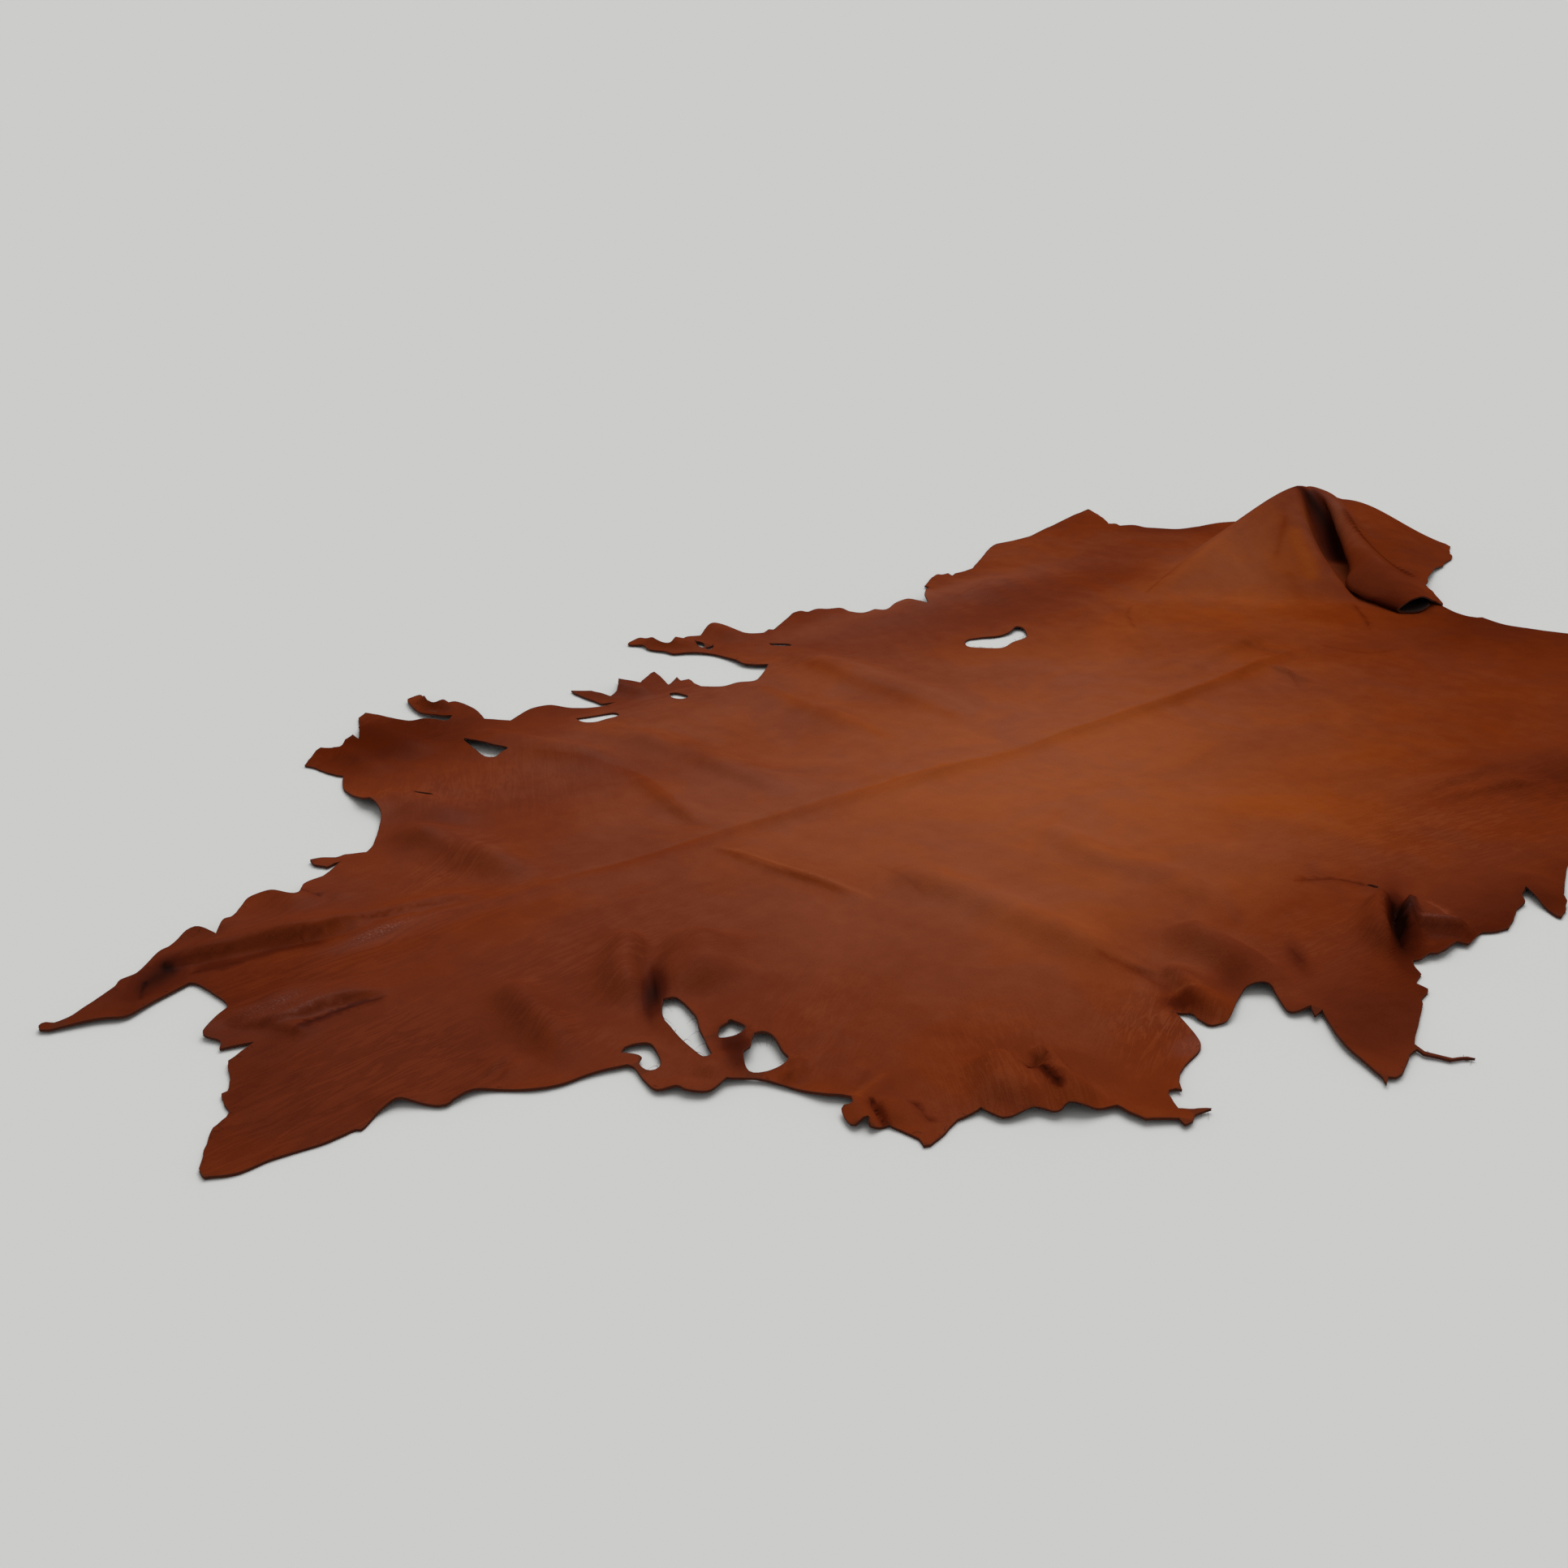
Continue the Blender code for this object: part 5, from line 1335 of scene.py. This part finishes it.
def cells(tree, vector, scale, feature="DISTANCE_TO_EDGE"):
    """The distance of a Voronoi Texture."""
    inputs = {"Vector": vector, "Scale": scale, "Randomness": 1.0}
    made = add(tree, "TexVoronoi", inputs, voronoi_dimensions="2D", feature=feature)
    return made.outputs["Distance"]


def mix_colours(tree, factor, first, second, blend="MIX"):
    """The output of a colour Mix node."""
    inputs = {0: factor, 6: first, 7: second}
    return add(tree, "Mix", inputs, data_type="RGBA", blend_type=blend).outputs[2]


def mottle_group():
    """Uneven dye: clouds of two sizes and long faint streaks, from 0 to 1."""
    tree, given, result = new_group(
        "uneven dye",
        (("Plan", "Vector", None), ("Cloud Size", "Float", CLOUD_SIZE),
            ("Streaks", "Float", STREAKS)),
        (("Value", "Float"),),
    )
    broad = noise(tree, given["Plan"], "broad dye", given["Cloud Size"])
    small = noise(tree, given["Plan"], "small dye")
    lines = noise(tree, stretched(tree, given["Plan"], *STREAK_SCALE), "streaks")
    clouds = calc(tree, "MULTIPLY", broad, 1 - SMALL_SHARE)
    clouds = calc(tree, "MULTIPLY_ADD", small, SMALL_SHARE, clouds)
    streaks = calc(tree, "MULTIPLY", calc(tree, "SUBTRACT", lines, 0.5), given["Streaks"])
    tree.links.new(calc(tree, "ADD", clouds, streaks), result["Value"])
    return tree


def grain_group():
    """Pebble grain: rounded cells between fine cracks, with pores here and there."""
    tree, given, result = new_group(
        "pebble grain",
        (("Plan", "Vector", None), ("Cells per Metre", "Float", PEBBLES)),
        (("Height", "Float"), ("Pores", "Float")),
    )
    fine = remap(tree, cells(tree, given["Plan"], given["Cells per Metre"]), 0.0, FINE_CRACK)
    wide_scale = calc(tree, "MULTIPLY", given["Cells per Metre"], WIDE_CELLS)
    wide = remap(tree, cells(tree, given["Plan"], wide_scale), 0.0, WIDE_CRACK)
    both = calc(tree, "MULTIPLY", fine, 1 - WIDE_SHARE)
    both = calc(tree, "MULTIPLY_ADD", wide, WIDE_SHARE, both)
    spots = cells(tree, given["Plan"], wide_scale, "F1")
    pores = remap(tree, spots, *PORE_SIZE, 1.0, 0.0)
    tree.links.new(calc(tree, "MULTIPLY_ADD", pores, PORE_DEPTH, both), result["Height"])
    tree.links.new(pores, result["Pores"])
    return tree


def wrinkle_group():
    """Growth wrinkles: long narrow grooves between broader ridges, from noise that is stretched
    along them. A groove runs where the noise is at its middle, and finer noise is added."""
    tree, given, result = new_group(
        "growth wrinkles",
        (("Field", "Vector", None), ("Length", "Float", WRINKLE_LENGTH)),
        (("Height", "Float"), ("Amount", "Float")),
    )
    parts = add(tree, "SeparateXYZ", {0: given["Field"]}).outputs
    along = calc(tree, "MULTIPLY", parts["X"], given["Length"])
    place = add(tree, "CombineXYZ", {"X": along, "Y": parts["Y"]}).outputs[0]
    value = noise(tree, place, "wrinkles")
    away = calc(tree, "ABSOLUTE", calc(tree, "SUBTRACT", value, 0.5))
    height = remap(tree, away, 0.0, GROOVE_SIDE)
    fine = noise(tree, stretched(tree, place, *FINE_WRINKLE_SCALE), "fine wrinkles")
    total = calc(tree, "MULTIPLY_ADD", fine, FINE_WRINKLE_SHARE, height)
    tree.links.new(total, result["Height"])
    tree.links.new(calc(tree, "MINIMUM", parts["Z"], 1.0), result["Amount"])
    return tree


def suede_group():
    """Open fibres of a flesh side or a cut edge: short tangled streaks, from 0 to 1."""
    tree, given, result = new_group(
        "open fibres",
        (("Place", "Vector", None), ("Fibres per Metre", "Float", FLESH_FIBRES)),
        (("Value", "Float"),),
    )
    place = stretched(tree, given["Place"], *FIBRE_STRETCH)
    first = noise(tree, place, "fibres", given["Fibres per Metre"])
    coarse = noise(tree, given["Place"], "tufts")
    half = calc(tree, "MULTIPLY", first, 0.5)
    tree.links.new(calc(tree, "MULTIPLY_ADD", coarse, 0.5, half), result["Value"])
    return tree


def new_material(name):
    """A material, its tree and its shader."""
    material = bpy.data.materials.new(name)
    material.use_nodes = True
    tree = material.node_tree
    return material, tree, tree.nodes["Principled BSDF"]


def placed(tree, group, inputs):
    """A node group in a material, with its own values."""
    return add(tree, "Group", inputs, node_tree=group).outputs


def read(tree, name, output="Vector"):
    """What a mesh attribute of this name holds."""
    return add(tree, "Attribute", attribute_name=name).outputs[output]


def with_crease_shade(tree, colour, settings):
    """The colour darkened to near black where the tone lies below 0: painted shade in the deepest
    creases, pits and hollows.
    """
    shown = remap(tree, read(tree, "tone", "Fac"), *CREASE_SHADE_TONES, *CREASE_SHADE_SHOWN, smooth_ends=False)
    return mix_colours(tree, shown, (*settings.crease_shade, 1.0), colour)


def finish_shader(tree, shader, colour, rough, height, level):
    """Links the colour, the roughness and a bump of this height, and sets the specular level."""
    bump = add(tree, "Bump", {"Strength": 1.0, "Distance": 1.0, "Height": height})
    tree.links.new(colour, shader.inputs["Base Color"])
    tree.links.new(rough, shader.inputs["Roughness"])
    tree.links.new(bump.outputs["Normal"], shader.inputs["Normal"])
    shader.inputs["Specular IOR Level"].default_value = level


def grain_material(settings, groups):
    """Aniline-dyed grain: three tones of dye by the tone of each place, clouds and streaks, painted
    shade in the deepest creases, in the wrinkles' grooves and in the pores, dark cut edges, pebble
    grain and growth wrinkles."""
    material, tree, shader = new_material("grain leather")
    plan = read(tree, "plan")
    dye = placed(tree, groups["mottle"], {"Plan": plan})
    grain = placed(tree, groups["grain"], {"Plan": plan})
    wrinkles = placed(tree, groups["wrinkles"], {"Field": read(tree, "wrinkle")})
    tone = read(tree, "tone", "Fac")
    uneven = calc(tree, "SUBTRACT", dye["Value"], 0.5)
    tone = calc(tree, "MULTIPLY_ADD", uneven, settings.unevenness, tone)
    folded = calc(tree, "SUBTRACT", wrinkles["Height"], WRINKLE_MIDDLE)
    folded = calc(tree, "MULTIPLY", folded, wrinkles["Amount"])
    # Painted shade in the wrinkles' grooves and in the pores
    tone = calc(tree, "MULTIPLY_ADD", folded, WRINKLE_SHADE, tone)
    tone = calc(tree, "MULTIPLY_ADD", grain["Pores"], PORE_SHADE, tone)
    ramp = add(tree, "ValToRGB", {"Fac": tone})
    stops = ((0.0, settings.dye_dark), (MIDDLE_TONE, settings.dye_middle),
        (1.0, settings.dye_light))
    ramp.color_ramp.elements.new(MIDDLE_TONE)
    for element, (place, colour) in zip(ramp.color_ramp.elements, stops):
        element.position = place
        element.color = (*colour, 1.0)
    warmth = remap(tree, noise(tree, plan, "warm clouds"), *WARM_CLOUDS, *WARM_RANGE)
    # The warmth holds the dye's own hue together with painted sheen, cooler on the far side, and warmer
    # painted shade on slopes turned from the light
    warmth = calc(tree, "MULTIPLY_ADD", read(tree, "warmth", "Fac"), WARMTH_SHARE, warmth)
    tint = mix_colours(tree, warmth, (*settings.cool_tint, 1.0), (*settings.warm_tint, 1.0))
    colour = mix_colours(tree, 1.0, ramp.outputs["Color"], tint, "MULTIPLY")
    # Painted shade: near black where the tone lies below 0, in the deepest creases, pits and hollows
    colour = with_crease_shade(tree, colour, settings)
    near_edge = remap(tree, read(tree, "edge", "Fac"), 0.0, EDGE_BAND, EDGE_SHARE, 0.0)
    colour = mix_colours(tree, near_edge, colour, (*settings.edge_dark, 1.0))
    rough = calc(tree, "MULTIPLY_ADD", uneven, ROUGHNESS_SHARE, settings.roughness)
    polish = read(tree, "polish", "Fac")
    rubbed = remap(tree, polish, *RUBBED)
    flecks = noise(tree, stretched(tree, plan, *FLECK_SCALE), "flecks")
    flecks = calc(tree, "MULTIPLY", remap(tree, flecks, *FLECK_RANGE), rubbed)
    even = calc(tree, "MINIMUM", polish, RUBBED[0])
    glaze = calc(tree, "MULTIPLY_ADD", flecks, FLECK_STRENGTH, even)
    glaze = calc(tree, "MULTIPLY", glaze, settings.gloss)
    tree.links.new(calc(tree, "MINIMUM", glaze, 1.0), shader.inputs["Coat Weight"])
    shader.inputs["Coat Roughness"].default_value = settings.glaze_roughness
    height = calc(tree, "MULTIPLY", grain["Height"], settings.grain_height)
    ridges = calc(tree, "MULTIPLY", wrinkles["Height"], wrinkles["Amount"])
    height = calc(tree, "MULTIPLY_ADD", ridges, settings.wrinkle_height, height)
    lumps = noise(tree, plan, "lumps")
    height = calc(tree, "MULTIPLY_ADD", lumps, settings.lump_height, height)
    finish_shader(tree, shader, colour, rough, height, 0.0)
    return material


def flesh_material(settings, groups):
    """The suede of the flesh side, with painted shade where the tone lies below 0, as in the pleat's
    mouth.
    """
    material, tree, shader = new_material("flesh side")
    fibres = placed(tree, groups["suede"], {"Place": read(tree, "plan")})["Value"]
    light = tuple(FLESH_LIGHTER * part for part in settings.flesh)
    colour = mix_colours(tree, fibres, (*settings.flesh, 1.0), (*light, 1.0))
    rough = remap(tree, fibres, 0.0, 1.0, *FLESH_ROUGHNESS)
    height = calc(tree, "MULTIPLY", fibres, FLESH_NAP)
    finish_shader(tree, shader, with_crease_shade(tree, colour, settings), rough, height, FIBRE_SPECULAR)
    return material


def raw_edge_material(settings, groups):
    """The cut edge: dark compressed fibres, with the lighter core showing in places."""
    material, tree, shader = new_material("raw edge")
    place = add(tree, "TexCoord").outputs["Object"]
    inputs = {"Place": place, "Fibres per Metre": EDGE_FIBRES}
    fibres = placed(tree, groups["suede"], inputs)["Value"]
    core = remap(tree, noise(tree, place, "core"), *CORE_SHOWN)
    colour = mix_colours(tree, core, (*settings.edge_dark, 1.0), (*settings.flesh, 1.0))
    rough = remap(tree, fibres, 0.0, 1.0, *EDGE_ROUGHNESS)
    height = calc(tree, "MULTIPLY", fibres, EDGE_NAP)
    finish_shader(tree, shader, colour, rough, height, FIBRE_SPECULAR)
    return material


def length_setting(label, about, value, low, high):
    """A property that holds a small length in millimetres."""
    return bpy.props.FloatProperty(name=label, description=about, default=value, min=low,
        max=high, precision=2)


def colour_setting(label, about, value):
    """A property that holds a colour."""
    return bpy.props.FloatVectorProperty(name=label, description=about, default=value, size=3,
        subtype="COLOR", min=0.0, max=1.0)


def share_setting(label, about, value, high=1.0):
    """A property that holds a factor."""
    return bpy.props.FloatProperty(name=label, description=about, default=value, min=0.0,
        max=high, subtype="FACTOR")


class HideSettings(bpy.types.PropertyGroup):
    """Sizes and colours of the leather."""

    thickness: length_setting("Thickness", "Thickness of the leather in mm", 2.5, 1.0, 5.0)
    spacing: length_setting("Spacing", "Between points of the upper face in mm", 9.0, 5, 40)
    lower_spacing: length_setting("Lower spacing", "The same for the lower face", 12.5, 5, 40)
    edge_spacing: length_setting("Edge spacing", "Between points of the cut edge in mm", 4.2, 2, 20)
    raggedness: length_setting("Raggedness", "How far torn edges stray in mm", 1.9, 0, 5)
    relief: share_setting("Relief", "How much the lying leather undulates", 1.0, 3.0)
    fibres: bpy.props.IntProperty(name="Fibres", description="Loose fibres along the edges",
        default=620, min=0, max=4000)
    fibre_length: length_setting("Fibre length", "Mean length of a loose fibre in mm", 7.2, 1, 30)
    dye_dark: colour_setting("Dark dye", "Dye in the darkest places", (0.0646, 0.0091, 0.0029))
    dye_middle: colour_setting("Dye", "Dye over most of the hide", (0.1265, 0.0212, 0.0060))
    dye_light: colour_setting("Light dye", "Dye in the lightest places", (0.252, 0.0645, 0.0238))
    edge_dark: colour_setting("Dark edge", "Dye at the cut edges", (0.062, 0.015, 0.007))
    # This colour is painted shade: near black in the deepest creases, pits and hollows
    crease_shade: colour_setting("Soot", "Dirt in the deepest creases", (0.004, 0.0012, 0.0007))
    flesh: colour_setting("Flesh side", "Suede of the lower face", (0.055, 0.0135, 0.006))
    warm_tint: colour_setting("Warm tint", "Factor on the dye's colour in warm clouds",
        (1.0, 0.90, 0.42))
    cool_tint: colour_setting("Cool tint", "The same in cool clouds", (0.81, 0.87, 1.0))
    unevenness: share_setting("Unevenness", "How much the dye varies", 0.42, 2.0)
    roughness: share_setting("Roughness", "Roughness of the grain side", 0.52)
    gloss: share_setting("Gloss", "Strength of the glaze on the grain side", 0.16)
    glaze_roughness: share_setting("Glaze roughness", "How soft its reflections are", 0.38)
    grain_height: bpy.props.FloatProperty(name="Grain height", default=0.00010, precision=5,
        description="Height of the pebble grain", unit="LENGTH")
    wrinkle_height: bpy.props.FloatProperty(name="Wrinkle height", default=0.00030, precision=5,
        description="Height of the growth wrinkles", unit="LENGTH")
    lump_height: bpy.props.FloatProperty(name="Lump height", default=0.0004, precision=5,
        description="Height of small lumps", unit="LENGTH")


class StageSettings(bpy.types.PropertyGroup):
    """The plain studio."""

    floor: colour_setting("Floor", "Colour of the floor", (0.4523, 0.4523, 0.4469))
    surroundings: colour_setting("Surroundings", "Light from all round", (0.604, 0.604, 0.591))
    sun: bpy.props.FloatProperty(name="Sun", description="Strength of the soft key light",
        default=2.77, min=0.0)
    softness: bpy.props.FloatProperty(name="Softness", description="How wide the key light is",
        default=math.radians(50), subtype="ANGLE")
    floor_size: bpy.props.FloatProperty(name="Floor size", description="Width of the floor",
        default=600.0, unit="LENGTH")


class HIDE_OT_leather(bpy.types.Operator):
    """Builds the leather as one closed sheet"""

    bl_idname = "hide.leather"
    bl_label = "Leather"

    def execute(self, context):
        settings = context.scene.hide_settings
        rings = [outline(settings.edge_spacing, settings.raggedness)]
        rings += hole_rims(settings.edge_spacing, settings.raggedness)
        upper = triangulate(rings, sheet_points(rings, settings.spacing, CLEARANCE["upper"]))
        lower = triangulate(rings, sheet_points(rings, settings.lower_spacing, CLEARANCE["lower"]))
        points, faces, kinds, flat, out = close_sheet(
            rings, *upper, *lower, settings.thickness, settings.relief
        )
        groups = {"mottle": mottle_group(), "grain": grain_group(), "wrinkles": wrinkle_group(),
            "suede": suede_group()}
        materials = [
            grain_material(settings, groups),
            flesh_material(settings, groups),
            raw_edge_material(settings, groups),
        ]
        hide = new_piece("hide_leather", points, faces, materials, kinds)
        edge = edge_distance(flat, rings)
        set_attribute(hide.data, "plan", np.column_stack([flat, 0 * edge]) * MM)
        set_attribute(hide.data, "edge", edge * MM)
        # The tone holds the dye's own lighter and darker patches together with painted shade in hollows
        # and creases and painted light on slopes that face the light
        tone = BASE_TONE + patched(flat, PATCHES) + line_marks(flat, "tone")
        set_attribute(hide.data, "tone", np.clip(tone, -1, 1))
        # The warmth: the dye's own hue together with painted sheen and painted shade
        set_attribute(hide.data, "warmth", patched(flat, WARMTHS) + line_marks(flat, "warmth"))
        set_attribute(hide.data, "polish", np.clip(patched(flat, POLISHED), 0, 1))
        set_attribute(hide.data, "wrinkle", wrinkle_field(flat))
        corner = np.zeros(len(points), int)
        count, n = len(out), len(upper[0])
        corner[:count] = 1
        corner[n + count : n + 2 * count] = 2
        mark_sharp(hide.data, corner)
        area = sheet_area(hide.data)
        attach(hide, "root")
        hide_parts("hide")
        fibres = build_fibres(points[n : n + count], out, materials[2], settings)
        return {"FINISHED"}


def sheet_area(mesh):
    """Half the surface of the closed sheet, in square metres."""
    corners = np.empty(3 * len(mesh.vertices))
    mesh.vertices.foreach_get("co", corners)
    corners = corners.reshape(-1, 3)
    index = np.empty(3 * len(mesh.polygons), np.int32)
    mesh.polygons.foreach_get("vertices", index)
    a, b, c = (corners[index[k::3]] for k in range(3))
    return float(np.linalg.norm(np.cross(b - a, c - a), axis=1).sum() / 4)


def build_fibres(waist, out, material, settings):
    """Loose fibres along the cut and torn edges, as one piece."""
    rng = np.random.default_rng(STRAND_SEED)
    chosen = rng.choice(len(waist), min(settings.fibres, len(waist)), replace=False)
    paths = strand_paths(waist[chosen], -out[chosen], rng, settings)
    points, faces = strand_mesh(paths, STRAND_RADIUS)
    fibres = new_piece("edge_fibres", points, faces, [material])
    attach(fibres, "root")
    return fibres


class HIDE_OT_stage(bpy.types.Operator):
    """Builds a plain floor, soft light and the camera"""

    bl_idname = "hide.stage"
    bl_label = "Studio"

    def execute(self, context):
        settings = context.scene.hide_stage
        scene = context.scene
        half = settings.floor_size / 2
        square = np.array([(-1, -1), (1, -1), (1, 1), (-1, 1)]) * half
        mesh = bpy.data.meshes.new("floor")
        corners = np.column_stack([square, np.full(4, FLOOR_DROP)])
        mesh.from_pydata(corners.tolist(), [], [(0, 1, 2, 3)])
        floor = bpy.data.objects.new("floor", mesh)
        scene.collection.objects.link(floor)
        material, _, shader = new_material("floor")
        shader.inputs["Base Color"].default_value = (*settings.floor, 1.0)
        shader.inputs["Roughness"].default_value = 1.0
        shader.inputs["Specular IOR Level"].default_value = 0.0
        mesh.materials.append(material)

        world = bpy.data.worlds.new("studio")
        world.use_nodes = True
        background = world.node_tree.nodes["Background"]
        background.inputs["Color"].default_value = (*settings.surroundings, 1.0)
        scene.world = world

        light = bpy.data.lights.new("key", "SUN")
        light.energy = settings.sun
        light.angle = settings.softness
        key = bpy.data.objects.new("key", light)
        key.rotation_euler = [math.radians(part) for part in KEY_TURN]
        scene.collection.objects.link(key)

        lens = bpy.data.cameras.new("camera")
        lens.lens = CAMERA_LENS
        lens.sensor_width = CAMERA_SENSOR
        camera = bpy.data.objects.new("camera", lens)
        camera.location = CAMERA_PLACE
        camera.rotation_euler = [math.radians(part) for part in CAMERA_TURN]
        scene.collection.objects.link(camera)
        scene.camera = camera
        scene.view_settings.view_transform = "Standard"
        return {"FINISHED"}


class HIDE_PT_panel(bpy.types.Panel):
    """Lists the steps and their settings"""

    bl_idname = "HIDE_PT_panel"
    bl_label = "Tanned hide"
    bl_space_type = "VIEW_3D"
    bl_region_type = "UI"
    bl_category = "Hide"

    def draw(self, context):
        for operator, group in (("hide.leather", "hide_settings"), ("hide.stage", "hide_stage")):
            box = self.layout.box()
            settings = getattr(context.scene, group)
            for name in settings.__annotations__:
                box.prop(settings, name)
            box.operator(operator)


CLASSES = (HideSettings, StageSettings, HIDE_OT_leather, HIDE_OT_stage, HIDE_PT_panel)


def register():
    for cls in CLASSES:
        bpy.utils.register_class(cls)
    bpy.types.Scene.hide_settings = bpy.props.PointerProperty(type=HideSettings)
    bpy.types.Scene.hide_stage = bpy.props.PointerProperty(type=StageSettings)


def unregister():
    del bpy.types.Scene.hide_stage
    del bpy.types.Scene.hide_settings
    for cls in reversed(CLASSES):
        bpy.utils.unregister_class(cls)


def main():
    register()
    bpy.ops.hide.stage()
    bpy.ops.hide.leather()


if __name__ == "__main__":
    main()
